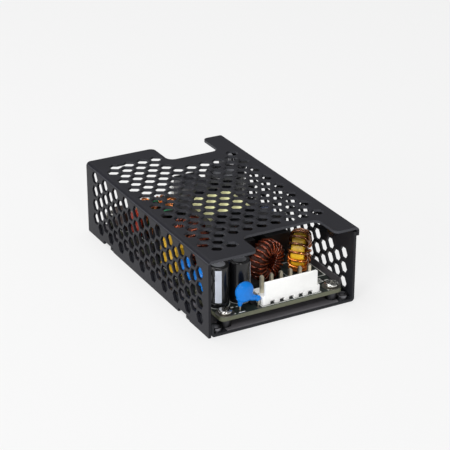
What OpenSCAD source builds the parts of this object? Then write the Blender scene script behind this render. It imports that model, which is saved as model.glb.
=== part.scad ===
// Enclosed open-ended power supply: a two-way converter board in a vented, folded steel case.
// X runs across the case, -Y is the output end, +Z is up. The origin is at the centre of the base.

/* [Case] */
// Outer width of the case
case_w = 62; // [61:0.5:70]
// Length of the case
case_l = 103.4; // [103.2:0.1:112]
// Outer height of the case
case_h = 30; // [29.5:0.5:36]
// Thickness of the sheet metal
sheet_t = 1; // [0.8:0.1:1.1]
// Outer radius of the cover's folds
cover_bend_r = 1.7; // [1.3:0.1:2.4]
// Outer radius of the base's folds
base_bend_r = 1.3; // [1.2:0.1:1.5]
// Play between the cover and the base
fold_gap = 0.15; // [0.1:0.05:0.3]
// Height of the cover's lip over the right wall
cover_lip_h = 3.5; // [3:0.25:5]
// Height of the base's lip inside the left wall
base_lip_h = 5; // [4:0.25:6]

/* [Vents] */
// Width of a vent hole across its flats
vent_af = 4.6; // [3.8:0.1:4.8]
// Distance between holes in a row
vent_pitch = 5.9; // [5.7:0.05:6]
// Distance between rows of holes
vent_row = 4.68; // [4.5:0.02:4.8]
// Holes in a full row of the top
vent_across = 9; // [5:1:9]
// Rows of holes in the top
vent_rows = 19; // [15:1:19]
// Columns of holes in a side wall
vent_columns = 20; // [14:1:20]
// Holes in a column of a side wall
vent_high = 4; // [2:1:4]
// Front edge to the first column of a side wall
vent_front = 6.7; // [6:0.1:8]
// Front edge to the first row of the top
vent_top_front = 8.9; // [8:0.1:9.5]
// Base plane to the lowest holes of a side wall
vent_low = 5.3; // [5:0.1:5.6]
// Left edge to the first hole of an odd row
vent_left = 5.1; // [4.8:0.1:5.4]

/* [Notches] */
// Width of the notch over the output header
front_notch_w = 32.2; // [28:0.2:33]
// Depth of that notch
front_notch_d = 12.8; // [9:0.2:13]
// Left edge of the case to that notch
front_notch_x = 19.7; // [19:0.1:21]
// Width of the notch over the input header
back_notch_w = 22.6; // [18:0.2:23]
// Depth of that notch
back_notch_d = 14.4; // [10:0.2:14.6]
// Left edge of the case to that notch
back_notch_x = 29.6; // [29.4:0.1:31]
// Radius of the notches' inner corners
notch_r_in = 3.2; // [1:0.2:4]
// Radius of the notches' outer corners
notch_r_out = 2.2; // [1:0.2:3]
// Length of the slots in the left wall's lower edge
slot_l = 8.8; // [6:0.2:10]
// Height of those slots
slot_h = 1.5; // [1.2:0.1:2]
// End of the case to each slot
slot_end = 14.8; // [12:0.2:18]

/* [Fasteners] */
// Outer diameter of the floor's threaded inserts
insert_d = 4.2; // [4:0.05:4.25]
// Bore of the threaded inserts, M3
insert_bore = 2.5; // [2.4:0.1:3]
// Height of an insert over the floor
insert_h = 1.4; // [1:0.1:1.8]
// Insert to the side of the case
insert_x = 4.6; // [4.5:0.05:4.7]
// Insert to the end of the case
insert_y = 3; // [2.8:0.1:3.1]
// Diameter of the board's standoffs
standoff_d = 4.2; // [4:0.05:4.25]
// Height of the standoffs over the floor
standoff_h = 3.6; // [3:0.1:4.5]
// Diameter of the board screws' shank
screw_d = 2.5; // [2.2:0.1:2.6]
// Diameter of the board screws' head
screw_head_d = 5.5; // [5:0.1:5.6]
// Height of the board screws' head
screw_head_h = 2; // [1.6:0.1:2.4]
// Play around a screw in its hole
screw_gap = 0.05; // [0.05:0.05:0.2]
// Width of the cover's screw tabs
tab_w = 12; // [9:0.5:14]
// Height of the cover's screw tabs
tab_h = 9; // [8:0.5:11]
// End of the case to the middle of each tab
tab_y = 13.5; // [11:0.5:16]
// Head diameter of the cover screws
cover_head_d = 4.6; // [4:0.2:5]

/* [Board] */
// Width of the board
board_w = 50.8; // [50.8:0.2:54]
// Length of the board
board_l = 101.6; // [101.6:0.2:103]
// Thickness of the board
board_t = 1.6; // [1.2:0.1:2]
// Corner radius of the board
board_r = 2; // [1:0.25:2.5]
// Mounting hole to the board's edges
hole_inset = 3.175; // [3.1:0.025:3.25]
// Diameter of the mounting holes
hole_d = 3.2; // [3:0.1:3.4]
// Thickness of the insulation sheet
film_t = 0.4; // [0.2:0.1:0.6]
// Width of the insulation sheet between the inserts
film_w = 46.4; // [44:0.2:47]
// Height of the insulation sheet's folded edges
film_h = 5.4; // [4:0.2:6]

/* [Headers] */
// Distance between header pins
pin_pitch = 3.96; // [3.5:0.02:4]
// Width of a square pin
pin_w = 1.14; // [0.8:0.02:1.2]
// Height of the pins over the board
pin_h = 9.9; // [9.6:0.1:11]
// Depth of a header's base
header_d = 8.5; // [8:0.1:9]
// Height of a header's base
header_base_h = 3; // [2:0.1:3.4]
// Height of a header's wall
header_wall_h = 8.8; // [7:0.1:9.4]
// Thickness of a header's wall
header_wall_t = 1.3; // [1:0.1:1.6]
// Pins in the output header
output_ways = 6; // [4:1:6]
// Places in the input header
input_ways = 3; // [2:1:4]
// Board's edge to a header
header_set = 1.1; // [0.6:0.1:1.6]
// Board's left edge to the middle of the output header
output_x = 29.5; // [28.5:0.1:30.5]
// Board's left edge to the middle of the input header
input_x = 35.4; // [34:0.1:36]

/* [Capacitors] */
// Diameter of the output capacitors
out_cap_d = 8; // [6.3:0.1:8.2]
// Height of the output capacitors
out_cap_h = 16; // [12:0.5:20]
// Diameter of the bulk capacitor
bulk_d = 16; // [12.5:0.5:16]
// Height of the bulk capacitor
bulk_h = 20; // [16:0.5:21]
// Diameter of the bias capacitor
bias_d = 6.3; // [5:0.1:6.4]
// Height of the bias capacitor
bias_h = 12; // [8:0.5:16]
// Diameter of the disc capacitors
disc_d = 7.4; // [6:0.1:8]
// Thickness of the disc capacitors
disc_t = 3.4; // [2.5:0.1:3.6]
// Distance between the legs of a disc capacitor
disc_lead = 7.5; // [6:0.25:7.5]
// Height of a disc's centre over the board
disc_h = 7.2; // [6:0.1:8]
// Length of the ferrite bead
bead_l = 2; // [1.4:0.1:2.1]
// Diameter of the ferrite bead
bead_d = 3.4; // [2.6:0.1:3.6]
// Length, width and height of the black suppression capacitor
xcap = [9.4, 17.5, 18]; // [6:0.1:18]
// Length, width and height of the yellow film capacitor
film_cap = [5, 13, 12]; // [4:0.1:14]

/* [Chokes] */
// Outer diameter of the output chokes' cores
choke_od = 13.6; // [12:0.1:14]
// Inner diameter of the output chokes' cores
choke_id = 7; // [6:0.1:7.4]
// Thickness of the output chokes' cores
choke_t = 5; // [4:0.1:6]
// Wire of the brown output choke
choke_a_wire = 0.8; // [0.6:0.05:0.85]
// Turns of the brown output choke
choke_a_turns = 18; // [10:1:19]
// Wire of the yellow output choke
choke_b_wire = 1.1; // [0.7:0.05:1.15]
// Turns of the yellow output choke
choke_b_turns = 11; // [6:1:12]
// Outer diameter of the line choke's core
line_od = 15; // [13:0.1:15.4]
// Inner diameter of the line choke's core
line_id = 8; // [7:0.1:8.4]
// Thickness of the line choke's core
line_t = 9; // [7:0.1:11]
// Wire of the line choke
line_wire = 1; // [0.7:0.05:1.05]
// Turns in each winding of the line choke
line_turns = 7; // [4:1:8]
// Outer diameter of the boost choke's core
boost_od = 18; // [16:0.1:18.4]
// Inner diameter of the boost choke's core
boost_id = 9.6; // [9:0.1:10]
// Thickness of the boost choke's core
boost_t = 6; // [5:0.1:6.4]
// Wire of the boost choke
boost_wire = 0.8; // [0.6:0.05:0.85]
// Turns of the boost choke
boost_turns = 24; // [12:1:26]
// Play between a winding and its core
wind_gap = 0.1; // [0.1:0.02:0.2]

/* [Transformer] */
// Width of the transformer core
core_w = 28; // [26:0.2:28.6]
// Length of the transformer core
core_l = 30; // [28:0.2:31]
// Height of the transformer core
core_h = 10; // [8:0.2:12]
// Thickness of the core's legs and bars
core_leg = 5; // [4:0.1:6]
// Width of the core's middle leg
core_mid = 8; // [6:0.1:8.4]
// Height of the tape-covered winding
winding_h = 17.6; // [15:0.2:19]
// Thickness of the bobbin's flanges
flange_t = 1; // [0.6:0.1:1.4]
// Height of the bobbin's foot
bobbin_foot = 1.4; // [1:0.1:2]

/* [Power stage] */
// Thickness of the heatsink plates
sink_t = 1.5; // [1:0.1:1.8]
// Height of the heatsink plates
sink_h = 17; // [14:0.5:20]
// Length of the output heatsink
out_sink_l = 27; // [24:0.5:28]
// Length of the primary heatsink
in_sink_l = 12; // [11:0.5:13]
// Width of a power transistor
tr_w = 10; // [9:0.1:10.4]
// Thickness of a power transistor
tr_t = 4.4; // [3:0.1:4.5]
// Height of a power transistor
tr_h = 15; // [12:0.5:16]
// Distance from the board to a transistor
tr_lift = 2.5; // [2:0.1:3]

/* [Hidden] */
$fn = 48;
over = 1;                                   // how far a cutter runs past the face it opens
inner_r = base_bend_r - sheet_t;
base_l = sheet_t + fold_gap;                // left face of the base's lip
base_r = case_w - sheet_t - fold_gap;       // right face of the base's wall
wall_top = case_h - cover_bend_r - fold_gap; // top of the base's right wall, clear of the fold
board_x = (case_w - board_w) / 2;
board_y = (case_l - board_l) / 2;
board_z = sheet_t + standoff_h;
top_z = board_z + board_t;
hole_x = [hole_inset, board_w - hole_inset];
hole_y = [hole_inset, board_l - hole_inset];
tab_ys = [tab_y, case_l - tab_y];
tab_z = case_h - tab_h / 2 - 1;
vent_keep = vent_af / 2 + 1.6;

// Places on the board, from its front left corner
side_gap = 0.4;
part_gap = 0.6;
cap_y = hole_inset + screw_head_d / 2 + part_gap + out_cap_d / 2;
cap_x = side_gap + out_cap_d / 2;
disc_x = side_gap + disc_t / 2;
disc_y1 = cap_y + out_cap_d / 2 + 2 + disc_lead / 2;
disc_y2 = disc_y1 + disc_lead + 3;
film_cap_y = disc_y2 + disc_lead / 2 + 1.4 + film_cap[1] / 2;
boost_out = boost_od / 2 + wind_gap + boost_wire;
boost_half = boost_t / 2 + wind_gap + boost_wire;
boost_x = side_gap + film_cap[0] + part_gap + boost_half;
boost_y = film_cap_y - 0.5;
in_sink_y = boost_y + boost_out + part_gap + tr_t;
in_sink_x = 8;
line_out = line_od / 2 + wind_gap + line_wire;
line_half = line_t / 2 + wind_gap + line_wire;
line_x = side_gap + disc_t + part_gap + line_out;
choke_out_a = choke_od / 2 + wind_gap + choke_a_wire;
choke_out_b = choke_od / 2 + wind_gap + choke_b_wire;
choke_a = [29.2, header_set + header_d + 9.6];
choke_b = [44, header_set + header_d + 10.3];
out_sink_y = header_set + header_d + 24.6;
out_sink_x = 33;
core_y = out_sink_y + sink_t + part_gap + core_l / 2 + 0.6;
core_x = 28.9;
mid_z = top_z + bobbin_foot + winding_h / 2;
line_y = core_y + core_l / 2 + part_gap + line_out;
bulk_x = board_w - side_gap - bulk_d / 2;
bulk_y = core_y + core_l / 2 + part_gap + bulk_d / 2;
xcap_x = bulk_x - bulk_d / 2 - part_gap - xcap[0] / 2;
xcap_y = bulk_y + 1;
bias_x = board_w - side_gap - bias_d / 2;
pin_back = 4.6;                             // header's outer face to its pins
noise_x = hole_inset + screw_head_d / 2 + part_gap + disc_lead / 2 + 0.4;
noise_y = 2.6;

// Moves what is drawn from the board's corner to the case's frame
module on_board(x, y, z = 0) {
    translate([board_x + x, board_y + y, top_z + z]) children();
}

// Moves the whole case so that its base is centred on the origin
module place() {
    translate([-case_w / 2, -case_l / 2, 0]) children();
}

// Four places, one at each end of two lists
module at_each(xs, ys) {
    for (x = xs, y = ys) translate([x, y, 0]) children();
}

// Rectangle with four round corners, from its lower left corner
module round_rect(w, l, r) {
    translate([r, 0]) square([w - 2 * r, l]);
    translate([0, r]) square([w, l - 2 * r]);
    for (x = [r, w - r], y = [r, l - r]) translate([x, y]) circle(r);
}

// Box with round vertical edges, centred in X and Y
module round_box(w, l, h, r) {
    translate([-w / 2, -l / 2, 0]) linear_extrude(h) round_rect(w, l, r);
}

// Doorway shape with round upper corners, for a folded section
module fold_shape(w, h, r) {
    square([w, h - r]);
    translate([r, 0]) square([w - 2 * r, h]);
    for (x = [r, w - r]) translate([x, h - r]) circle(r);
}

// Notch in the edge y = 0 with round inner and outer corners
module notch(w, d, r_in, r_out) {
    translate([0, -over]) square([w, d - r_in + over]);
    translate([r_in, 0]) square([w - 2 * r_in, d]);
    for (x = [r_in, w - r_in]) translate([x, d - r_in]) circle(r_in);
    for (side = [0, 1]) translate([side * w, 0]) mirror([side, 0]) difference() {
        translate([-r_out, -over]) square([r_out, r_out + over]);
        translate([-r_out, r_out]) circle(r_out);
    }
}

// Vent hole with two flats facing X
module hex() {
    rotate(30) circle(d = vent_af / cos(30), $fn = 6);
}

// Whether a hole of the top stands clear of both notches and both screw tabs
function vent_fits(x, y) =
    let (front = front_notch_d + vent_keep + 0.5, back = case_l - back_notch_d - vent_keep - 2)
    (y > front || x < front_notch_x - vent_keep + 0.3)
    && (y < back || x < back_notch_x - vent_keep + 1
        || (x > back_notch_x + back_notch_w - 1 && y < case_l - 19));

// Pattern of the top, rows across the case
module top_vents() {
    for (j = [0 : vent_rows - 1], k = [0 : vent_across - 1]) {
        x = vent_left + (k + (j % 2 == 0 ? 0.5 : 0)) * vent_pitch;
        y = vent_top_front + j * vent_row;
        if (vent_fits(x, y)) translate([x, y]) hex();
    }
}

// Wider opening at the back left, where three holes run together
module corner_vent() {
    y = vent_top_front + (vent_rows - 1) * vent_row;
    translate([vent_left + vent_pitch / 2, y - vent_af / 5]) square([vent_pitch, 0.6 * vent_af]);
}
module wall_vents(keep_tabs) {
    for (i = [0 : vent_columns - 1], k = [0 : vent_high - 1]) {
        y = vent_front + i * vent_row;
        z = vent_low + (k + (i % 2 == 0 ? 0 : 0.5)) * vent_pitch;
        near_tab = min([for (t = tab_ys) abs(y - t)]) < tab_w / 2 + 1.8 && z > case_h - tab_h - vent_af / 2;
        if (!(keep_tabs && near_tab)) translate([y, z]) rotate(90) hex();
    }
}

// Sets a flat pattern drawn in (Y, Z) upright and cuts through a wall at x
module through_wall(x) {
    translate([x - over, 0, 0]) rotate([90, 0, 90]) linear_extrude(sheet_t + 2 * over) children();
}

module cover_section() {
    difference() {
        fold_shape(case_w, case_h, cover_bend_r);
        translate([sheet_t, -over])
            fold_shape(case_w - 2 * sheet_t, case_h - sheet_t + over, cover_bend_r - sheet_t);
        translate([case_w / 2, -over]) square([case_w, case_h - cover_lip_h + over]);
    }
}

module base_section() {
    translate([0, case_h]) mirror([0, 1]) difference() {
        translate([base_l, 0]) fold_shape(base_r - base_l, case_h, base_bend_r);
        translate([base_l + sheet_t, -over])
            fold_shape(base_r - base_l - 2 * sheet_t, case_h - sheet_t + over, inner_r);
        translate([0, -over]) square([case_w / 2, case_h - base_lip_h + over]);
        translate([case_w / 2, -over]) square([case_w, case_h - wall_top + over]);
    }
}

// Draws a section along the whole case
module along_case() {
    translate([0, case_l, 0]) rotate([90, 0, 0]) linear_extrude(case_l) children();
}

// Flush screw's seat through the right wall, with its axis along X
module cover_screw_places() {
    for (y = tab_ys) translate([case_w, y, tab_z]) rotate([0, -90, 0]) children();
}

// Slots in the left wall's lower edge
module edge_slots(l, h) {
    for (y = [slot_end + (slot_l - l) / 2, case_l - slot_end - (slot_l + l) / 2])
        translate([-over, y, -over]) cube([base_l + over, l, h + over]);
}

module base() {
    color([0.16, 0.17, 0.19]) place() difference() {
        union() {
            along_case() base_section();
            for (y = [slot_end, case_l - slot_end - slot_l]) translate([0.2, y + 0.6, 0])
                cube([base_l + base_bend_r, 2.4, sheet_t]);
        }
        through_wall(base_r - sheet_t) wall_vents(true);
        translate([0, 0, -over]) {
            at_each([insert_x, case_w - insert_x], [insert_y, case_l - insert_y])
                cylinder(d = insert_d - 1, h = sheet_t + 2 * over);
            translate([board_x, board_y, 0]) at_each(hole_x, hole_y)
                cylinder(d = standoff_d - 0.8, h = sheet_t + 2 * over);
        }
        cover_screw_places() cylinder(d = cover_head_d - 0.9, h = 4 * sheet_t);
    }
}

module cover() {
    color([0.2, 0.21, 0.24]) place() difference() {
        union() {
            along_case() cover_section();
            for (y = tab_ys) translate([case_w - sheet_t, y - tab_w / 2, case_h - tab_h])
                rotate([90, 0, 90]) linear_extrude(sheet_t) {
                    translate([0, 2]) square([tab_w, tab_h - cover_bend_r - 2]);
                    translate([2, 0]) square([tab_w - 4, 2]);
                    for (x = [2, tab_w - 2]) translate([x, 2]) circle(2);
                }
        }
        translate([0, 0, case_h - sheet_t - over]) linear_extrude(sheet_t + 2 * over) {
            top_vents();
            corner_vent();
            translate([front_notch_x, 0]) notch(front_notch_w, front_notch_d, notch_r_in, notch_r_out);
            translate([back_notch_x, case_l]) mirror([0, 1])
                notch(back_notch_w, back_notch_d, notch_r_in, notch_r_out);
        }
        through_wall(0) wall_vents(false);
        edge_slots(slot_l, slot_h);
        cover_screw_places() translate([0, 0, -over])
            cylinder(d1 = cover_head_d + 2 * over, d2 = cover_head_d - 2 * sheet_t, h = over + sheet_t);
        cover_screw_places() cylinder(d = cover_head_d - 1.2, h = 2 * sheet_t);
    }
}

module insulation_sheet() {
    inner_l = base_l + sheet_t + inner_r;
    inner_wr = base_r - sheet_t - inner_r;
    ends = 0.3;
    wide_from = insert_y + insert_d / 2 + 2.4;
    color([0.13, 0.13, 0.14]) place() difference() {
        union() {
            translate([(case_w - film_w) / 2, ends, sheet_t]) cube([film_w, case_l - 2 * ends, film_t]);
            translate([inner_l, wide_from, sheet_t]) cube([inner_wr - inner_l, case_l - 2 * wide_from, film_t]);
            for (x = [inner_l, inner_wr - film_t]) translate([x, wide_from, sheet_t])
                cube([film_t, case_l - 2 * wide_from, film_h]);
        }
        translate([board_x, board_y, 0]) at_each(hole_x, hole_y) cylinder(d = standoff_d + 0.4, h = 4);
    }
}

module circuit_board() {
    color([0.07, 0.1, 0.08]) place() translate([board_x, board_y, board_z]) difference() {
        linear_extrude(board_t) round_rect(board_w, board_l, board_r);
        translate([0, 0, -over]) at_each(hole_x, hole_y) cylinder(d = hole_d, h = board_t + 2 * over);
    }
}

module board_standoffs() {
    color("silver") place() translate([board_x, board_y, 0]) at_each(hole_x, hole_y) difference() {
        union() {
            cylinder(d = standoff_d - 0.8, h = sheet_t);
            translate([0, 0, sheet_t]) cylinder(d = standoff_d, h = standoff_h);
        }
        translate([0, 0, -over]) cylinder(d = screw_d + 2 * screw_gap, h = board_z + 2 * over);
    }
}

module board_screws() {
    recess = 0.9;
    color([0.78, 0.78, 0.8]) place() translate([board_x, board_y, top_z]) at_each(hole_x, hole_y) {
        translate([0, 0, -board_t - standoff_h + 0.4]) cylinder(d = screw_d, h = board_t + standoff_h);
        difference() {
            rotate_extrude() {
                square([screw_head_d / 2, screw_head_h / 2]);
                square([screw_head_d / 2 - screw_head_h / 2, screw_head_h]);
                translate([screw_head_d / 2 - screw_head_h / 2, screw_head_h / 2])
                    intersection() { circle(screw_head_h / 2); square(screw_head_h); }
            }
            for (a = [25, 115]) rotate(a) translate([-1.5, -0.3, screw_head_h - recess]) cube([3, 0.6, 2]);
        }
    }
}

module threaded_inserts() {
    color("silver") place() at_each([insert_x, case_w - insert_x], [insert_y, case_l - insert_y])
        difference() {
            union() {
                cylinder(d = insert_d - 1, h = sheet_t);
                translate([0, 0, sheet_t]) cylinder(d = insert_d, h = insert_h);
            }
            translate([0, 0, -over]) cylinder(d = insert_bore, h = sheet_t + insert_h + 2 * over);
        }
}

module cover_screws() {
    color([0.25, 0.25, 0.27]) place() cover_screw_places() difference() {
        union() {
            translate([0, 0, 0.05]) cylinder(d1 = cover_head_d - 0.4, d2 = cover_head_d - 2.2, h = sheet_t - 0.1);
            cylinder(d = cover_head_d - 2.2, h = 4.2 * sheet_t);
        }
        for (a = [45, 135]) rotate(a) translate([-1, -0.25, -over]) cube([2, 0.5, over + 0.6]);
    }
}

module cover_nuts() {
    color("silver") place() cover_screw_places()
        translate([0, 0, case_w - base_r + sheet_t]) difference() {
            cylinder(d = cover_head_d + 0.8, h = 1.6);
            translate([0, 0, -over]) cylinder(d = cover_head_d - 2.2 + 2 * screw_gap, h = 1.6 + 2 * over);
        }
}

// Header with its tall wall at y = 0 and its pins further in; n places
module header(n) {
    w = n * pin_pitch;
    difference() {
        union() {
            translate([-w / 2, 0, 0]) cube([w, header_d, header_base_h]);
            translate([-w / 2 + 1, 0, 0]) cube([w - 2, header_wall_t, header_wall_h]);
        }
        for (i = [1 : n - 1]) translate([(i - n / 2) * pin_pitch - 0.7, -over, -over])
            cube([1.4, header_wall_t + over + 1, 1.1 + over]);
        for (i = [0 : n - 1]) translate([(i - (n - 1) / 2) * pin_pitch, pin_back, 0])
            cube([pin_w + 0.02, pin_w + 0.02, 40], center = true);
    }
}

// Square pins with chamfered tips; the list gives the places that are filled
module pins(n, filled) {
    for (i = filled) translate([(i - (n - 1) / 2) * pin_pitch, pin_back, 0]) {
        translate([-pin_w / 2, -pin_w / 2, 0]) cube([pin_w, pin_w, pin_h - 0.5]);
        translate([0, 0, pin_h - 0.5]) rotate(45)
            cylinder(d1 = pin_w * sqrt(2), d2 = pin_w * 0.7, h = 0.5, $fn = 4);
    }
}

module output_header() {
    color([0.95, 0.95, 0.93]) place() on_board(output_x, header_set) header(output_ways);
}

module output_pins() {
    color([0.85, 0.82, 0.76]) place() on_board(output_x, header_set)
        pins(output_ways, [0 : output_ways - 1]);
}

module input_header() {
    color([0.95, 0.95, 0.93]) place() on_board(input_x, board_l - header_set) rotate(180) header(input_ways);
}

module input_pins() {
    color([0.85, 0.82, 0.76]) place() on_board(input_x, board_l - header_set) rotate(180)
        pins(input_ways, [0, input_ways - 1]);
}

// Upright can with a crimp groove near its foot and a rounded rim
module can(d, h) {
    rim = d * 0.06;
    rotate_extrude() difference() {
        union() {
            square([d / 2, h - rim]);
            square([d / 2 - rim, h]);
            translate([d / 2 - rim, h - rim]) circle(rim, $fn = 24);
        }
        translate([d / 2 + rim * 0.6, h * 0.11]) circle(rim, $fn = 24);
        translate([-1, h - 0.35]) square([d / 2 - 3 * rim + 1, 1]);
        translate([-d, -over]) square([d, h + 3]);
    }
}

module output_capacitor_left() {
    color([0.1, 0.1, 0.12]) place() on_board(cap_x, cap_y) can(out_cap_d, out_cap_h);
}

module output_capacitor_right() {
    color([0.1, 0.1, 0.12]) place() on_board(cap_x + out_cap_d + part_gap, cap_y) can(out_cap_d, out_cap_h);
}

module bulk_capacitor() {
    color([0.12, 0.12, 0.14]) place() on_board(bulk_x, bulk_y) can(bulk_d, bulk_h);
}

module bias_capacitor() {
    color([0.25, 0.28, 0.36]) place() on_board(bias_x, core_y - 1) can(bias_d, bias_h);
}

// Round disc with a full rim, its axis along Y, its centre at height h
module disc_body(d, t, h) {
    translate([0, 0, h]) rotate([90, 0, 0]) rotate_extrude() {
        translate([0, -t / 2]) square([d / 2 - t / 2, t]);
        intersection() {
            translate([d / 2 - t / 2, 0]) circle(t / 2);
            translate([0, -t]) square([d, 2 * t]);
        }
    }
}

// Leg of a disc with the coating run down its upper part
module disc_leg(h) {
    cylinder(d = 0.7, h = h);
    translate([0, 0, h - 1.6]) cylinder(d1 = 1.1, d2 = 1.8, h = 1.6);
}

// Disc part standing on two legs in the plane of the disc
module disc_part(d, t, lead, h) {
    disc_body(d, t, h);
    for (side = [-1, 1]) translate([side * lead * 0.38, 0, 0]) disc_leg(h - 2);
}

// Stands off centre on its legs, with its coating run down onto the far one
module noise_capacitor() {
    shift = disc_lead / 2 - 1.7;
    color([0.1, 0.5, 0.85]) place() on_board(noise_x, noise_y) {
        disc_body(disc_d, disc_t, disc_h);
        translate([-1.7, 0, 0]) disc_leg(disc_h - 2);
        translate([disc_lead - 1.7, 0, 0]) disc_leg(disc_h - 3.4);
        translate([shift - 0.6, 0, disc_h - 1.6]) rotate([0, 118, 0])
            cylinder(d1 = disc_t, d2 = 1.8, h = disc_lead - 2.9);
        translate([disc_lead - 1.7, 0, disc_h - 3.6]) sphere(d = 1.9);
    }
}

module safety_capacitor_front() {
    color([0.1, 0.5, 0.85]) place() on_board(disc_x, disc_y1) rotate(90)
        disc_part(disc_d, disc_t, disc_lead, disc_h);
}

module safety_capacitor_back() {
    color([0.1, 0.5, 0.85]) place() on_board(disc_x, disc_y2) rotate(90)
        disc_part(disc_d, disc_t, disc_lead, disc_h);
}

module varistor() {
    color([0.75, 0.2, 0.15]) place() on_board(disc_x, line_y - 3) rotate(90)
        disc_part(disc_d + 2, disc_t, disc_lead, disc_h + 1);
}

module ferrite_bead() {
    color([0.08, 0.08, 0.09]) place()
        on_board(output_x - output_ways * pin_pitch / 2 - bead_d / 2 - 0.4, noise_y + bead_d / 2 + 0.1, bead_d / 2)
            rotate([-90, 0, 0]) difference() {
                cylinder(d = bead_d, h = bead_l);
                translate([0, 0, -over]) cylinder(d = 1.2, h = over + 1);
            }
}

// Toroid lying flat around the origin, with round edges
module ring_core(od, id, t) {
    r = 0.8;
    rotate_extrude() translate([id / 2, -t / 2]) round_rect((od - id) / 2, t, r, $fn = 24);
}

// Path of one turn round a core's section: corner i of eight, at reach o from its faces
function turn_point(i, id, od, t, o) =
    let (c = 0.8, x0 = id / 2 - o, x1 = od / 2 + o, z = t / 2 + o)
    [[x1, -z + c], [x1, z - c], [x1 - c, z], [x0 + c, z], [x0, z - c], [x0, -z + c], [x0 + c, -z],
     [x1 - c, -z]][i];

// Points of a winding between two angles, with a straight leg at each end
function wind_path(id, od, t, wire, turns, a0, a1, leg) =
    let (o = wire / 2 + wind_gap, n = turns * 8, x1 = od / 2 + o, c = 0.8, z = t / 2 + o)
    concat([[(x1 + leg) * cos(a0), (x1 + leg) * sin(a0), -z + c]],
        [for (i = [0 : n + 1]) let (p = turn_point(i % 8, id, od, t, o), a = a0 + (a1 - a0) * i / (n + 1))
            [p[0] * cos(a), p[0] * sin(a), p[1]]],
        [[(x1 + leg) * cos(a1), (x1 + leg) * sin(a1), z - c]]);

function unit(v) = v / norm(v);

// Round wire swept along a path, with a ring of six points at each place
module wire_sweep(path, d) {
    sides = 6;
    n = len(path);
    function heading(i) = unit(i == 0 ? path[1] - path[0] : i == n - 1 ? path[n - 1] - path[n - 2]
        : unit(path[i] - path[i - 1]) + unit(path[i + 1] - path[i]));
    function carry(i, u) = unit(u - (u * heading(i)) * heading(i));
    sides_of = [for (i = 0, u = carry(0, unit(cross(heading(0), [0.3, 0.5, 0.8]))); i < n;
        i = i + 1, u = i < n ? carry(i, u) : u) u];
    points = [for (i = [0 : n - 1]) let (u = sides_of[i], v = cross(heading(i), u))
        for (k = [0 : sides - 1]) path[i] + d / 2 * (cos(360 * k / sides) * u + sin(360 * k / sides) * v)];
    walls = [for (i = [0 : n - 2], k = [0 : sides - 1]) let (j = (k + 1) % sides)
        for (f = [[i * sides + k, (i + 1) * sides + j, i * sides + j],
                  [i * sides + k, (i + 1) * sides + k, (i + 1) * sides + j]]) f];
    ends = [[for (k = [0 : sides - 1]) k], [for (k = [sides - 1 : -1 : 0]) (n - 1) * sides + k]];
    polyhedron(points = points, faces = concat(walls, ends));
}

// Stands a toroid on its edge on the board, turned about Z
module standing(p, reach, turn) {
    on_board(p[0], p[1], reach) rotate(turn) rotate([90, 0, 0]) children();
}

module output_choke_core() {
    color([0.3, 0.16, 0.1]) place() standing(choke_a, choke_out_a + 0.3, 22)
        ring_core(choke_od, choke_id, choke_t);
}

module output_choke_winding() {
    leg = choke_out_a + 0.3 - choke_od / 2 - wind_gap - choke_a_wire / 2;
    color([0.55, 0.25, 0.12]) place() standing(choke_a, choke_out_a + 0.3, 22)
        wire_sweep(wind_path(choke_id, choke_od, choke_t, choke_a_wire, choke_a_turns, -82, 262, leg), choke_a_wire);
}

module filter_choke_core() {
    color([0.95, 0.8, 0.15]) place() standing(choke_b, choke_out_b + 0.3, 50)
        ring_core(choke_od, choke_id, choke_t);
}

module filter_choke_winding() {
    leg = choke_out_b + 0.3 - choke_od / 2 - wind_gap - choke_b_wire / 2;
    color([0.72, 0.38, 0.16]) place() standing(choke_b, choke_out_b + 0.3, 50)
        wire_sweep(wind_path(choke_id, choke_od, choke_t, choke_b_wire, choke_b_turns, -78, 258, leg), choke_b_wire);
}

module boost_choke_core() {
    color([0.85, 0.75, 0.3]) place() standing([boost_x, boost_y], boost_out + 0.3, 90)
        ring_core(boost_od, boost_id, boost_t);
}

module boost_choke_winding() {
    leg = boost_out + 0.3 - boost_od / 2 - wind_gap - boost_wire / 2;
    color([0.6, 0.28, 0.14]) place() standing([boost_x, boost_y], boost_out + 0.3, 90)
        wire_sweep(wind_path(boost_id, boost_od, boost_t, boost_wire, boost_turns, -84, 264, leg), boost_wire);
}

module on_line_base() {
    on_board(line_x, line_y, 1.6 + line_half) children();
}

module line_choke_core() {
    color([0.05, 0.42, 0.28]) place() on_line_base() ring_core(line_od, line_id, line_t);
}

module line_choke_windings() {
    color([0.8, 0.42, 0.15]) place() on_line_base() for (side = [0, 180])
        wire_sweep(wind_path(line_id, line_od, line_t, line_wire, line_turns, side - 62, side + 62, 0.6), line_wire);
}

module line_choke_base() {
    color([0.1, 0.1, 0.1]) place() on_board(line_x, line_y) {
        round_box(2 * line_out - 1, 2 * line_out - 1, 1.6, 2);
        translate([-0.5, 1 - line_id / 2, 1.6]) cube([1, line_id - 2, line_half + line_t / 2]);
    }
}

module transformer_core() {
    slot = (core_w - 2 * core_leg - core_mid) / 2;
    color([0.12, 0.12, 0.13]) place() for (side = [0, 1])
        translate([board_x + core_x, board_y + core_y, mid_z - core_h / 2]) mirror([0, side, 0]) difference() {
            translate([-core_w / 2, 0, 0]) cube([core_w, core_l / 2, core_h]);
            for (m = [0, 1]) mirror([m, 0, 0]) translate([core_mid / 2, -over, -over])
                cube([slot, core_l / 2 - core_leg + over, core_h + 2 * over]);
        }
}

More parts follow.
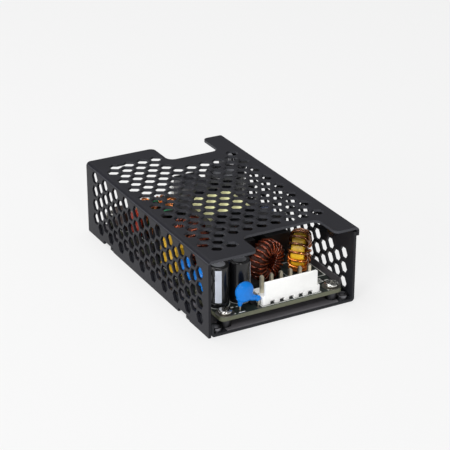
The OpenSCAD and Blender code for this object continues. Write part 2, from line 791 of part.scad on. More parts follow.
module transformer_bobbin() {
    w = core_w - 2 * core_leg - 0.4;
    l = core_l - 2 * core_leg - 0.2;
    color([0.1, 0.1, 0.11]) place() on_board(core_x, core_y) difference() {
        union() {
            for (side = [-1, 1]) translate([-w / 2, side * (l - flange_t) / 2 - flange_t / 2, 0])
                cube([w, flange_t, bobbin_foot + winding_h]);
            translate([-(core_mid + 2) / 2, -l / 2, bobbin_foot + winding_h / 2 - (core_h + 2) / 2])
                cube([core_mid + 2, l, core_h + 2]);
            for (side = [-1, 1]) translate([-w / 2, side * (l / 2 - 1.5) - 1.5, 0]) cube([w, 3, bobbin_foot]);
        }
        translate([0, 0, bobbin_foot + winding_h / 2])
            cube([core_mid + 0.1, l + 2 * over, core_h + 0.1], center = true);
    }
}

module transformer_winding() {
    w = core_w - 2 * core_leg - 0.8;
    l = core_l - 2 * core_leg - 0.2 - 2 * flange_t;
    h = winding_h - 0.4;
    color([0.93, 0.92, 0.62]) place() translate([board_x + core_x, board_y + core_y, mid_z])
        rotate([90, 0, 0]) translate([0, 0, -l / 2]) linear_extrude(l) difference() {
            translate([-w / 2, -h / 2]) round_rect(w, h, 2);
            square([core_mid + 2, core_h + 2], center = true);
        }
}

// Plate on edge with its foot on the board
module sink(l, x, y) {
    on_board(x, y) difference() {
        translate([-l / 2, 0, 0]) cube([l, sink_t, sink_h]);
        for (i = [-1, 1]) translate([i * (l / 2 - 2.4), -over, sink_h - 2.6]) rotate([-90, 0, 0])
            cylinder(d = 2, h = sink_t + 2 * over);
    }
}

// Power transistor with its tab against a plate at y = 0 and its legs down to the board
module transistor() {
    tab = 1.2;
    difference() {
        union() {
            translate([-tr_w / 2, -tab, tr_lift]) cube([tr_w, tab, tr_h]);
            translate([-tr_w / 2, -tr_t, tr_lift]) cube([tr_w, tr_t - tab, tr_h * 0.6]);
        }
        translate([0, over, tr_lift + tr_h * 0.82]) rotate([90, 0, 0]) cylinder(d = 3.4, h = tab + 2 * over);
    }
    for (i = [-1 : 1]) translate([i * 2.54 - 0.4, -tr_t / 2 - 0.5, 0]) cube([0.8, 0.6, tr_lift]);
}

module output_heatsink() {
    color([0.35, 0.36, 0.38]) place() sink(out_sink_l, out_sink_x, out_sink_y);
}

module output_rectifiers() {
    color([0.1, 0.1, 0.11]) place() for (side = [-1, 1])
        on_board(out_sink_x + side * (tr_w / 2 + 2.4), out_sink_y) transistor();
}

module primary_heatsink() {
    color([0.2, 0.2, 0.22]) place() sink(in_sink_l, in_sink_x, in_sink_y);
}

module primary_switch() {
    color([0.1, 0.1, 0.11]) place() on_board(in_sink_x, in_sink_y) transistor();
}

module film_capacitor() {
    color([0.95, 0.82, 0.15]) place() on_board(side_gap + film_cap[0] / 2, film_cap_y)
        round_box(film_cap[0], film_cap[1], film_cap[2], 0.5);
}

module suppression_capacitor() {
    color([0.1, 0.1, 0.11]) place() on_board(xcap_x, xcap_y) round_box(xcap[0], xcap[1], xcap[2], 0.6);
}

module fuse() {
    color([0.09, 0.09, 0.1]) place() on_board(side_gap + 2, line_y + line_out + 1.5) round_box(4, 8.4, 7.7, 0.4);
}

module bridge_rectifier() {
    color([0.11, 0.11, 0.12]) place() on_board(board_w - side_gap - 9, xcap_y + xcap[1] / 2 + part_gap + 1.7) {
        translate([0, 0, 2]) round_box(18, 3.4, 11, 0.4);
        for (i = [-1.5 : 1.5]) translate([i * 4 - 0.5, -0.3, 0]) cube([1, 0.6, 2]);
    }
}

module drum_choke_core() {
    color([0.2, 0.2, 0.22]) place() on_board(12, disc_y1 + 3.6) rotate_extrude() {
        square([4.4, 1.4]);
        square([2.4, 11]);
        translate([0, 9.6]) square([4.4, 1.4]);
    }
}

module drum_choke_winding() {
    color([0.7, 0.36, 0.15]) place() on_board(12, disc_y1 + 3.6, 1.5) rotate_extrude() difference() {
        translate([2.5, 0]) square([1.6, 8]);
        for (i = [0 : 9]) translate([4.1, 0.4 + 0.8 * i]) circle(0.2, $fn = 16);
    }
}

module optocouplers() {
    color([0.85, 0.85, 0.83]) place() for (i = [0, 1]) on_board(20.2, header_set + header_d + 5 + 8.4 * i)
        translate([0, 0, 0.4]) {
            round_box(4.4, 6.4, 3.4, 0.3);
            for (x = [-2.6, 2.2], y = [-1.5, 1]) translate([x, y, -0.4]) cube([0.4, 0.5, 2]);
        }
}

module control_chip() {
    color([0.08, 0.08, 0.09]) place() on_board(bias_x - 0.2, core_y + 9) {
        translate([0, 0, 0.1]) round_box(4, 5, 1.5, 0.2);
        for (x = [-2.7, 2], i = [0 : 3]) translate([x, i * 1.27 - 2.1, 0]) cube([0.7, 0.4, 0.5]);
    }
}

base();
cover();
insulation_sheet();
circuit_board();
board_standoffs();
board_screws();
threaded_inserts();
cover_screws();
cover_nuts();
output_header();
output_pins();
input_header();
input_pins();
output_capacitor_left();
output_capacitor_right();
noise_capacitor();
ferrite_bead();
safety_capacitor_front();
safety_capacitor_back();
film_capacitor();
output_choke_core();
output_choke_winding();
filter_choke_core();
filter_choke_winding();
transformer_core();
transformer_bobbin();
transformer_winding();
bias_capacitor();
output_heatsink();
output_rectifiers();
boost_choke_core();
boost_choke_winding();
primary_heatsink();
primary_switch();
line_choke_core();
line_choke_windings();
line_choke_base();
suppression_capacitor();
bulk_capacitor();
varistor();
fuse();
bridge_rectifier();
drum_choke_core();
drum_choke_winding();
optocouplers();
control_chip();
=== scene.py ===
"""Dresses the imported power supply: finishes, small parts, lights, floor and camera.

Everything is in metres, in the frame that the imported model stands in: the case is centred
on the origin, its outputs look along -Y and its feet rest on the plane z = 0.
"""
# ruff: noqa: E402

import logging
import math
from collections.abc import Callable, Iterable, Sequence
from dataclasses import dataclass, field
from enum import Enum
from functools import partial
from typing import NamedTuple

import bmesh
import bpy
from mathutils import Matrix, Vector

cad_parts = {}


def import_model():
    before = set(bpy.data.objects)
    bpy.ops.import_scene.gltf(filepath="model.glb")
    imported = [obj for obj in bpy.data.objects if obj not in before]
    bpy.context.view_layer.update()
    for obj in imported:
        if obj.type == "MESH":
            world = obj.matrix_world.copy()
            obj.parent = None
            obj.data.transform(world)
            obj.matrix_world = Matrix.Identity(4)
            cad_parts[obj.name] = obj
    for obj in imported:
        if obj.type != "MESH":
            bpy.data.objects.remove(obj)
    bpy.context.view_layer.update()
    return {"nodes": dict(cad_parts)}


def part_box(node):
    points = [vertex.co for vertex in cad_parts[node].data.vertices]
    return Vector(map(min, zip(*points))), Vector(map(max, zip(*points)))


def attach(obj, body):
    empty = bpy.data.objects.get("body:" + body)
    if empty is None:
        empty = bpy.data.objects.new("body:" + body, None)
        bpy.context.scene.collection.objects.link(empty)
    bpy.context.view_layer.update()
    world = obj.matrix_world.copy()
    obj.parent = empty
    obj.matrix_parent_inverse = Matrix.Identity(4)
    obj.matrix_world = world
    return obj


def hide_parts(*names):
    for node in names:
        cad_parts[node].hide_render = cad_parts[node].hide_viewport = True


LOG = logging.getLogger("power_supply")
MM = 0.001
ROOT = "root"

FLAT = 0.9  # a face looks up or down where its normal's part along Z is past this
STEEP = 0.5  # and it belongs to an edge or a wall where that part is under this
SUNK = 0.2 * MM  # how far the foot of a lead reaches into the board

Piece = bpy.types.Object
Triple = tuple[float, float, float]
Colour = Triple
WHITE: Colour = (1.0, 1.0, 1.0)


def srgb(red: int, green: int, blue: int) -> Colour:
    """Turns a colour as chosen on a screen into the linear values that a shader takes.

    Args:
        red, green, blue: the channels, from 0 to 255.

    Returns:
        The linear channels, from 0 to 1.
    """

    def channel(value: int) -> float:
        """Linear value of one channel."""
        share = value / 255
        return share / 12.92 if share <= 0.04045 else ((share + 0.055) / 1.055) ** 2.4

    return (channel(red), channel(green), channel(blue))


def shade(colour: Colour, factor: float) -> Colour:
    """A colour made lighter or darker by a factor."""
    return tuple(channel * factor for channel in colour)


class Slot(str, Enum):
    """Names of material slots, which some sub-assemblies are given but do not use."""

    SCREW = "steel"
    WHITE = "white_plastic"
    TIN = "tinned_pin"
    BLUE = "blue_coating"
    RED = "red_coating"
    YELLOW_CASE = "yellow_case"
    COPPER = "copper_wire"
    BLACK = "black_plastic"
    TAPE = "pale_tape"
    PLATE = "plate"


# ---------------------------------------------------------------- shader maths


class Sock:
    """An output socket that takes part in sums written as plain Python."""

    def __init__(self, graph: "Graph", socket: bpy.types.NodeSocket) -> None:
        """Wraps one output socket of a graph."""
        self.graph = graph
        self.socket = socket

    def _math(self, operation: str, *values: "Value") -> "Sock":
        """Result of a Math node on numbers or sockets, given in the node's order."""
        return self.graph.add("ShaderNodeMath", {"operation": operation}, dict(enumerate(values)))

    def __add__(self, other: "Value") -> "Sock":
        """Sum."""
        return self._math("ADD", self, other)

    __radd__ = __add__

    def __sub__(self, other: "Value") -> "Sock":
        """Difference."""
        return self._math("SUBTRACT", self, other)

    def __rsub__(self, other: "Value") -> "Sock":
        """Difference, the socket taken from the other value."""
        return self._math("SUBTRACT", other, self)

    def __mul__(self, other: "Value") -> "Sock":
        """Product."""
        return self._math("MULTIPLY", self, other)

    __rmul__ = __mul__

    def __abs__(self) -> "Sock":
        """Size without its sign."""
        return self._math("ABSOLUTE", self)

    def __gt__(self, other: "Value") -> "Sock":
        """1 where the socket is the greater, and 0 elsewhere."""
        return self._math("GREATER_THAN", self, other)

    def __lt__(self, other: "Value") -> "Sock":
        """1 where the socket is the lesser, and 0 elsewhere."""
        return self._math("LESS_THAN", self, other)

    def or_more(self, other: "Value") -> "Sock":
        """The greater of the two."""
        return self._math("MAXIMUM", self, other)

    def fraction(self) -> "Sock":
        """What is left over past the whole number."""
        return self._math("FRACT", self)

    def around(self, value: float, spread: float, centre: float = 0.5) -> "Sock":
        """A value, plus the spread times how far the socket is over its centre."""
        return value + spread * (self - centre)

    def step(self, start: float, end: float) -> "Sock":
        """Smooth rise from 0 at start to 1 at end."""
        settings = {"interpolation_type": "SMOOTHSTEP"}
        return self.graph.add("ShaderNodeMapRange", settings, {0: self, 1: start, 2: end})


Value = Sock | float | int
Inputs = dict[int | str, object]


class Graph:
    """The node tree of one material or of the world."""

    def __init__(self, tree: bpy.types.NodeTree) -> None:
        """Empties the tree and keeps it."""
        self.tree = tree
        tree.nodes.clear()

    def put(
        self, kind: str, settings: dict[str, object] | None = None, inputs: Inputs | None = None
    ) -> bpy.types.Node:
        """Adds one node.

        Args:
            kind: the node's type.
            settings: properties, which are set first.
            inputs: values or sockets by input name or place.

        Returns:
            The node.
        """
        node = self.tree.nodes.new(kind)
        for name, value in (settings or {}).items():
            setattr(node, name, value)
        for key, value in (inputs or {}).items():
            target = node.inputs[key]
            if isinstance(value, Sock):
                self.tree.links.new(value.socket, target)
            elif isinstance(value, tuple) and len(target.default_value) == 4:
                target.default_value = (*value, 1.0)
            else:
                target.default_value = value
        return node

    def add(
        self,
        kind: str,
        settings: dict[str, object] | None = None,
        inputs: Inputs | None = None,
        output: int | str = 0,
    ) -> Sock:
        """Adds one node, as put does, and gives back one of its outputs."""
        return Sock(self, self.put(kind, settings, inputs).outputs[output])

    def place(self) -> Sock:
        """Object coordinates, in metres."""
        return self.add("ShaderNodeTexCoord", output="Object")

    def height(self) -> Sock:
        """Height in the object's coordinates, in metres."""
        return self.add("ShaderNodeSeparateXYZ", None, {0: self.place()}, "Z")

    def upward(self) -> Sock:
        """How far the surface looks up: 1 on top, 0 on a wall and -1 underneath."""
        normal = self.add("ShaderNodeNewGeometry", output="Normal")
        return self.add("ShaderNodeSeparateXYZ", None, {0: normal}, "Z")

    def noise(self, size: float, detail: float = 3.0, stretch: Triple = (1, 1, 1)) -> Sock:
        """Soft noise of 0 to 1; size is the rough width of a blotch, in metres."""
        mapped = self.add("ShaderNodeMapping", None, {"Vector": self.place(), "Scale": stretch})
        return self.add(
            "ShaderNodeTexNoise", None, {"Vector": mapped, "Scale": 1 / size, "Detail": detail}
        )

    def blend(self, mask: Value, first: Sock | Colour, second: Sock | Colour) -> Sock:
        """Colour that goes from first to second as the mask goes from 0 to 1."""
        settings = {"data_type": "RGBA"}
        return self.add("ShaderNodeMix", settings, {0: mask, 6: first, 7: second}, 2)

    def bump(self, height: Sock, depth: float, strength: float) -> Sock:
        """A normal from heights of 0 to 1, depth metres apart."""
        return self.add(
            "ShaderNodeBump", None, {"Height": height, "Distance": depth, "Strength": strength}
        )


# ---------------------------------------------------------------- finishes


@dataclass(frozen=True)
class Finish:
    """What every finish has: a name and a main colour."""

    name: str
    colour: Colour

    def material(self) -> bpy.types.Material:
        """Makes the material, once.

        Returns:
            The material.
        """
        made = bpy.data.materials.get(self.name)
        if made is None:
            made = bpy.data.materials.new(self.name)
            made.use_nodes = True
            made.diffuse_color = (*self.colour, 1.0)
            graph = Graph(made.node_tree)
            surface = graph.add("ShaderNodeBsdfPrincipled", None, self.dress(graph))
            graph.put("ShaderNodeOutputMaterial", None, {"Surface": surface})
        return made

    def dress(self, graph: Graph) -> Inputs:
        """What the surface shader takes; each kind of finish has its own."""
        raise NotImplementedError

    def apply(self, piece: Piece) -> None:
        """Puts the material on a piece in place of what it has."""
        piece.data.materials.clear()
        piece.data.materials.append(self.material())


class Noise(NamedTuple):
    """A soft noise: rough width of a blotch, finer layers, and stretch along each axis."""

    size: float
    detail: float = 3.0
    stretch: Triple = (1, 1, 1)


class PaintedShade(NamedTuple):
    """Painted shade that darkens a colour above a height: heights where it starts and is full, and
    how it covers.
    """

    low: float
    high: float
    ragged: float  # how far its edge wanders
    cover: float
    dark: float  # its shade of the colour under it
    cloud: Noise = Noise(4 * MM)


@dataclass(frozen=True)
class Mottled(Finish):
    """Colour, roughness and relief that each follow a noise, with painted shade darkening it higher
    up.
    """

    roughness: float
    swing: float  # of the roughness, about its value where the noise is at rest
    rest: float
    tint: Noise
    shades: tuple[float, float]  # of the colour, at the ends of its noise
    relief: Noise
    depth: float
    strength: float
    rough: Noise | None = None  # the relief's where there is none
    edges: tuple[float, float] | None = None  # values that the tint's noise is cut at
    speckle: float = 0.0  # how much of the tint follows the relief
    lift: float = 0.0  # added to the second shade
    varnish: PaintedShade | None = None
    more: tuple[tuple[str, float], ...] = ()

    def dress(self, graph: Graph) -> Inputs:
        """Lets the noises drive the colour, the roughness and the relief.

        Args:
            graph: the material's nodes.

        Returns:
            What the surface shader takes.
        """
        tint, relief = graph.noise(*self.tint), graph.noise(*self.relief)
        rough = graph.noise(*self.rough) if self.rough else relief
        if self.edges:
            tint = tint.step(*self.edges)
        if self.speckle:
            tint = relief * self.speckle + tint * (1 - self.speckle)
        first, second = (shade(self.colour, factor) for factor in self.shades)
        base = graph.blend(tint, first, tuple(min(1.0, part + self.lift) for part in second))
        # painted shade: above a height the colour is darkened, standing in for shade on the top of
        # the part
        if self.varnish:
            coat = self.varnish
            edge = graph.height() + graph.noise(*coat.cloud).around(0.0, coat.ragged)
            cover = edge.step(coat.low, coat.high) * coat.cover
            base = graph.blend(cover, base, shade(self.colour, coat.dark))
        return {
            "Base Color": base,
            "Roughness": rough.around(self.roughness, self.swing, self.rest),
            "Normal": graph.bump(relief, self.depth, self.strength),
            **dict(self.more),
        }


@dataclass(frozen=True)
class PowderCoat(Finish):
    """Fine-grained powder coat on folded sheet, with a painted highlight on the walls of the holes
    in its top.
    """

    painted_edge_highlight: Colour = srgb(70, 71, 76)
    highlight_share: float = 0.6
    highlight_above: float = 28.9 * MM  # the painted highlight on the hole walls is shown over this height
    cloud: float = 14 * MM
    grain: float = 0.35 * MM
    depth: float = 0.012 * MM
    roughness: float = 0.5
    gloss: float = 0.24

    def dress(self, graph: Graph) -> Inputs:
        """Grain, faint clouding, and a painted highlight on the walls of the holes in the top
        sheet.

        Args:
            graph: the material's nodes.

        Returns:
            What the surface shader takes.
        """
        cloud = graph.noise(self.cloud)
        grain = graph.noise(self.grain, 2.0)
        # painted highlight: the steep walls of the top's holes are made paler, as where they catch
        # the light
        cut = (graph.height() > self.highlight_above) * (abs(graph.upward()) < STEEP)
        base = graph.blend(cloud.step(0.3, 0.75), self.colour, shade(self.colour, 1.22))
        return {
            "Base Color": graph.blend(cut * self.highlight_share, base, self.painted_edge_highlight),
            "Roughness": grain.around(self.roughness, 0.12) + cloud.around(0.0, 0.08),
            "Specular IOR Level": self.gloss,
            "Normal": graph.bump(grain, self.depth, 0.5),
        }


@dataclass(frozen=True)
class SolderMask(Finish):
    """Board: dark mask over copper tracks, bare laminate along the edges."""

    laminate: Colour = srgb(100, 102, 82)
    track: Colour = srgb(34, 42, 38)
    lane: float = 3.2 * MM
    crossing: float = 4.1 * MM
    weave: float = 0.5 * MM
    copper: float = 0.035 * MM

    def dress(self, graph: Graph) -> Inputs:
        """Tracks as faint raised lanes on the faces, and weave on the edges.

        Args:
            graph: the material's nodes.

        Returns:
            What the surface shader takes.
        """
        lanes = graph.noise(self.lane, 1.0, (1.8, 0.7, 1)).step(0.49, 0.53)
        cross = graph.noise(self.crossing, 1.0, (0.6, 2.0, 1)).step(0.5, 0.54)
        tracks = lanes.or_more(cross)
        edge = abs(graph.upward()) < STEEP
        weave = graph.noise(self.weave, 2.0, (1, 1, 6))
        side = graph.blend(weave, self.laminate, shade(self.laminate, 0.72))
        return {
            "Base Color": graph.blend(edge, graph.blend(tracks, self.colour, self.track), side),
            "Roughness": 0.3 + 0.35 * edge + 0.08 * graph.noise(1.5 * MM),
            "Normal": graph.bump(tracks, self.copper, 0.8),
        }


@dataclass(frozen=True)
class TapeWrap(Finish):
    """Polyester tape wound in overlapping turns."""

    turn: float = 2.2 * MM
    wobble: float = 9 * MM
    cloud: float = 3 * MM
    thick: float = 0.06 * MM

    def dress(self, graph: Graph) -> Inputs:
        """Bands whose overlaps show as thin steps and a change of shade.

        Args:
            graph: the material's nodes.

        Returns:
            What the surface shader takes.
        """
        wobble = graph.noise(self.wobble, 1.0)
        overlap = (graph.height() * (1 / self.turn) + wobble * 0.25).fraction()
        cloud = graph.noise(self.cloud, 2.0)
        return {
            "Base Color": graph.blend(
                cloud * 0.5 + overlap * 0.5, shade(self.colour, 0.78), self.colour
            ),
            "Roughness": 0.3 + 0.12 * cloud,
            "Coat Weight": 0.3,
            "Normal": graph.bump(overlap, self.thick, 0.7),
        }


RUBBED = Noise(6 * MM, 4.0, (1, 0.3, 1))
DIPPED = Noise(1.1 * MM, 2.0)
SHRUNK = Noise(7 * MM, 1.0, (1, 1, 0.4))

film = partial(
    Mottled, swing=0.2, rest=0.0, tint=RUBBED, shades=(1.0, 1.5), relief=Noise(18 * MM, 1.0),
    depth=0.25 * MM, strength=0.4, rough=RUBBED, more=(("Specular IOR Level", 0.35),),
)
moulding = partial(
    Mottled, swing=0.1, rest=0.5, tint=Noise(5 * MM), shades=(0.9, 1.0),
    relief=Noise(0.4 * MM, 2.0), depth=0.02 * MM, strength=0.5,
)
lacquer = partial(
    Mottled, roughness=0.34, swing=0.1, rest=0.0, tint=DIPPED, shades=(0.8, 1.0),
    relief=Noise(2.2 * MM, 1.0), depth=0.12 * MM, strength=0.4, rough=DIPPED,
    more=(("Specular IOR Level", 0.1), ("Coat Weight", 0.5), ("Coat Roughness", 0.05)),
)
metal = partial(
    Mottled, swing=0.18, rest=0.35, tint=Noise(4 * MM), shades=(1.0, 0.72), edges=(0.45, 0.8),
    relief=Noise(0.6 * MM, 4.0), depth=0.01 * MM, strength=0.5, more=(("Metallic", 1.0),),
)
enamel = partial(
    Mottled, swing=0.14, rest=0.5, tint=Noise(1.6 * MM, 2.0), edges=(0.3, 0.7),
    relief=Noise(0.4 * MM, 2.0), depth=0.02 * MM, strength=0.4,
    more=(("Metallic", 0.85), ("Coat Weight", 0.6), ("Coat Roughness", 0.06)),
)
sleeve = partial(
    Mottled, roughness=0.16, swing=0.12, rest=0.0, tint=SHRUNK, shades=(1.0, 1.4),
    relief=SHRUNK, depth=0.12 * MM, strength=0.35, rough=Noise(0.9 * MM),
)
grit = partial(
    Mottled, swing=0.2, rest=0.5, tint=Noise(4 * MM), shades=(1.0, 1.35), lift=0.004,
    speckle=0.6, relief=Noise(0.5 * MM, 4.0), depth=0.05 * MM, strength=0.6,
    more=(("Specular IOR Level", 0.4),),
)
paint = partial(grit, relief=Noise(0.8 * MM, 4.0), depth=0.03 * MM)

BLACK_COAT = PowderCoat("powder coat, cover", srgb(20, 20, 26))
BASE_COAT = PowderCoat("powder coat, base", srgb(28, 29, 33), highlight_above=1.0)
FILM = film("insulating film", srgb(82, 80, 83), 0.36)
MASK = SolderMask("solder mask", srgb(17, 20, 19))
BRIGHT_STEEL = metal("bright steel", srgb(206, 204, 200), 0.24)
DARK_STEEL = metal("blackened steel", srgb(74, 74, 77), 0.34)
PLATED = metal("zinc plate", srgb(126, 126, 130), 0.3)
TIN = metal("tinned pin", srgb(226, 218, 196), 0.34, relief=Noise(0.6 * MM, 4.0, (4, 4, 1)))
PAD_TIN = metal("pad tin", srgb(150, 146, 138), 0.4)
SOLDER = metal("solder", srgb(190, 190, 194), 0.24)
CAN_METAL = metal("can aluminium", srgb(170, 172, 178), 0.38)
SINK = metal("dark anodised plate", srgb(40, 41, 45), 0.42)
WHITE_NYLON = moulding("white nylon", srgb(240, 240, 238), 0.42)
BLACK_PLASTIC = moulding("black plastic", srgb(15, 15, 17), 0.38)
YELLOW_CASE = moulding("yellow film case", srgb(226, 178, 40), 0.34)
X_CASE = moulding("black film case", srgb(34, 35, 42), 0.4)
FUSE_CASE = moulding("fuse case", srgb(58, 40, 34), 0.3)
PRINT_INK = moulding("print ink", srgb(232, 234, 228), 0.6)
STRIPE_INK = moulding("stripe ink", srgb(214, 220, 232), 0.25)
OUT_SLEEVE = sleeve("output capacitor sleeve", srgb(16, 16, 18))
BULK_SLEEVE = sleeve("bulk capacitor sleeve", srgb(22, 22, 26))
BIAS_SLEEVE = sleeve("bias capacitor sleeve", srgb(64, 72, 96))
BLUE_EPOXY = lacquer("blue epoxy", srgb(0, 122, 218))
RED_EPOXY = lacquer("red epoxy", srgb(150, 46, 26))
FERRITE = grit("ferrite", srgb(30, 29, 32), 0.45)
# painted shade darkens the top of the filter choke's core, from 16 mm up to full at 20 mm
YELLOW_PAINT = paint(
    "yellow core paint", srgb(248, 190, 40), 0.42,
    varnish=PaintedShade(16 * MM, 20 * MM, 3 * MM, 0.8, 0.1),
)
GREEN_PAINT = paint("green core paint", srgb(26, 112, 72), 0.42)
DARK_PAINT = paint("dark core paint", srgb(66, 34, 24), 0.5)
BROWN_WIRE = enamel("brown enamelled wire", srgb(156, 64, 27), 0.26, shades=(0.22, 1.0))
# painted shade darkens the winding from 15 mm up to full at 19 mm
AMBER_WIRE = enamel(
    "amber enamelled wire", srgb(232, 132, 44), 0.22, shades=(0.4, 1.0),
    varnish=PaintedShade(15 * MM, 19 * MM, 0.0, 0.85, 0.048),
)
ORANGE_WIRE = enamel("orange enamelled wire", srgb(226, 134, 66), 0.28, shades=(0.5, 1.0))
PALE_TAPE = TapeWrap("pale tape", srgb(252, 250, 190))

WEARERS: dict[Finish, tuple[str, ...]] = {
    BASE_COAT: ("base",),
    BLACK_COAT: ("cover",),
    FILM: ("insulation_sheet",),
    MASK: ("circuit_board",),
    BRIGHT_STEEL: ("board_screws",),
    DARK_STEEL: ("board_standoffs", "cover_screws"),
    PLATED: ("threaded_inserts", "cover_nuts"),
    TIN: ("output_pins", "input_pins"),
    WHITE_NYLON: ("output_header", "input_header"),
    OUT_SLEEVE: ("output_capacitor_left", "output_capacitor_right"),
    BULK_SLEEVE: ("bulk_capacitor",),
    BIAS_SLEEVE: ("bias_capacitor",),
    BLUE_EPOXY: ("noise_capacitor", "safety_capacitor_front", "safety_capacitor_back"),
    RED_EPOXY: ("varistor",),
    YELLOW_CASE: ("film_capacitor",),
    X_CASE: ("suppression_capacitor",),
    FUSE_CASE: ("fuse",),
    FERRITE: ("ferrite_bead", "transformer_core", "drum_choke_core"),
    DARK_PAINT: ("output_choke_core", "boost_choke_core"),
    YELLOW_PAINT: ("filter_choke_core",),
    GREEN_PAINT: ("line_choke_core",),
    BROWN_WIRE: ("output_choke_winding", "boost_choke_winding"),
    AMBER_WIRE: ("filter_choke_winding", "drum_choke_winding"),
    ORANGE_WIRE: ("line_choke_windings",),
    PALE_TAPE: ("transformer_winding",),
    SINK: ("output_heatsink", "primary_heatsink"),
    BLACK_PLASTIC: (
        "transformer_bobbin", "output_rectifiers", "primary_switch", "line_choke_base",
        "bridge_rectifier", "optocouplers", "control_chip",
    ),
}


# ---------------------------------------------------------------- studio


def direction(azimuth: float, elevation: float) -> Vector:
    """Unit vector from the object towards a viewer at these angles, in degrees."""
    a, e = math.radians(azimuth), math.radians(elevation)
    return Vector((math.sin(a) * math.cos(e), -math.cos(a) * math.cos(e), math.sin(e)))


def hang(
    name: str, data: bpy.types.ID, target: Vector, azimuth: float, elevation: float, distance: float
) -> Piece:
    """Hangs a lamp or a camera so that it looks at a target.

    Args:
        name: the new object's name.
        data: the lamp's or the camera's settings.
        target: the point that it looks at.
        azimuth: where it stands round the target, in degrees; 0 is in front.
        elevation: how high it stands, in degrees.
        distance: from the target, in metres.

    Returns:
        The lamp or the camera.
    """
    hung = bpy.data.objects.new(name, data)
    bpy.context.scene.collection.objects.link(hung)
    back = direction(azimuth, elevation)
    hung.location = target + back * distance
    hung.rotation_euler = (-back).to_track_quat("-Z", "Y").to_euler()
    return hung


@dataclass(frozen=True)
class Lamp:
    """One soft square lamp."""

    name: str
    azimuth: float
    elevation: float
    power: float  # in watts
    size: float  # of the square
    distance: float = 1.2

    def build(self, target: Vector) -> None:
        """Hangs the lamp over its target."""
        data = bpy.data.lights.new(self.name, "AREA")
        data.energy, data.size = self.power, self.size
        hang(self.name, data, target, self.azimuth, self.elevation, self.distance)


@dataclass
class Studio:
    """Floor, world, lamps and camera."""

    azimuth: float = -28.54
    elevation: float = 24.73
    distance: float = 0.6065
    lens: float = 126.2
    sensor: float = 36.0
    target: Vector = field(default_factory=lambda: Vector((0.00367, 0.0, 0.01564)))
    floor_half: float = 6.0
    floor_gap: float = 0.2 * MM
    floor_grey: float = 0.8  # as it takes light
    floor_white: float = 0.88  # as the camera and reflections see it
    floor_share: float = 0.8  # how much of that white replaces the lit grey
    ambient: float = 0.28
    lamps: tuple[Lamp, ...] = (
        Lamp("left_soft", -78, 8, 10.5, 0.7),
        Lamp("key", -54, 42, 5.0, 0.3),
        Lamp("spark", -12, 22, 3.0, 0.12),
        Lamp("top_soft", -160, 78, 12.5, 0.9),
    )

    def build(self) -> None:
        """Builds the whole studio."""
        bpy.context.scene.view_settings.view_transform = "Standard"
        self._floor()
        self._world()
        for lamp in self.lamps:
            lamp.build(self.target)
        data = bpy.data.cameras.new("camera")
        data.sensor_width, data.lens = self.sensor, self.lens
        bpy.context.scene.camera = hang(
            "camera", data, self.target, self.azimuth, self.elevation, self.distance
        )

    def _floor(self) -> None:
        """Lays the pale floor."""
        bpy.ops.mesh.primitive_plane_add(size=2 * self.floor_half, location=(0, 0, -self.floor_gap))
        floor = bpy.context.object
        floor.name = "floor"
        seat(floor)
        made = bpy.data.materials.new("pale floor")
        made.use_nodes = True
        graph = Graph(made.node_tree)
        pale = (self.floor_grey,) * 3
        base = graph.blend(graph.noise(0.9, 2.0), pale, shade(pale, 1.02))
        coat = {"Base Color": base, "Roughness": 0.75, "Specular IOR Level": 0.2}
        lit = graph.add("ShaderNodeBsdfPrincipled", None, coat)
        glow = graph.add("ShaderNodeEmission", None, {"Color": WHITE, "Strength": self.floor_white})
        path = graph.put("ShaderNodeLightPath").outputs
        seen = Sock(graph, path["Is Camera Ray"]).or_more(Sock(graph, path["Is Glossy Ray"]))
        surface = graph.add(
            "ShaderNodeMixShader", None, {0: seen * self.floor_share, 1: lit, 2: glow}
        )
        graph.put("ShaderNodeOutputMaterial", None, {"Surface": surface})
        floor.data.materials.append(made)

    def _world(self) -> None:
        """White where the camera looks past the floor, dimmer as light and in reflections."""
        world = bpy.data.worlds.new("studio")
        bpy.context.scene.world = world
        world.use_nodes = True
        graph = Graph(world.node_tree)
        seen = graph.add("ShaderNodeLightPath", output="Is Camera Ray")
        light, shown = (
            graph.add("ShaderNodeBackground", None, {"Color": WHITE, "Strength": strength})
            for strength in (self.ambient, 1.0)
        )
        mixed = graph.add("ShaderNodeMixShader", None, {0: seen, 1: light, 2: shown})
        graph.put("ShaderNodeOutputWorld", None, {"Surface": mixed})


# ---------------------------------------------------------------- modelling by hand


def clear() -> None:
    """Leaves edit mode and deselects everything."""
    if bpy.context.object and bpy.context.object.mode != "OBJECT":
        bpy.ops.object.mode_set(mode="OBJECT")
    bpy.ops.object.select_all(action="DESELECT")


def take(piece: Piece) -> None:
    """Makes one object the only selected one and the active one."""
    clear()
    piece.select_set(True)
    bpy.context.view_layer.objects.active = piece


def seat(piece: Piece) -> None:
    """Puts the object at the origin, unturned and unscaled, its place in its mesh."""
    take(piece)
    bpy.ops.object.transform_apply(location=True, rotation=True, scale=True)


def added(scale: Sequence[float] = (1, 1, 1), turn: Sequence[float] = (0, 0, 0)) -> Piece:
    """Scales and turns the primitive just added, and seats it.

    Args:
        scale: factors along the axes.
        turn: angles about them, in degrees.

    Returns:
        The primitive.
    """
    piece = bpy.context.object
    piece.scale = scale
    piece.rotation_euler = [math.radians(angle) for angle in turn]
    seat(piece)
    return piece


def cube(size: Sequence[float], at: Sequence[float], turn: float = 0.0) -> Piece:
    """Box of a size, centred on a point and turned about Z in degrees, to be shaped."""
    bpy.ops.mesh.primitive_cube_add(size=1, location=at)
    return added(size, (0, 0, turn))


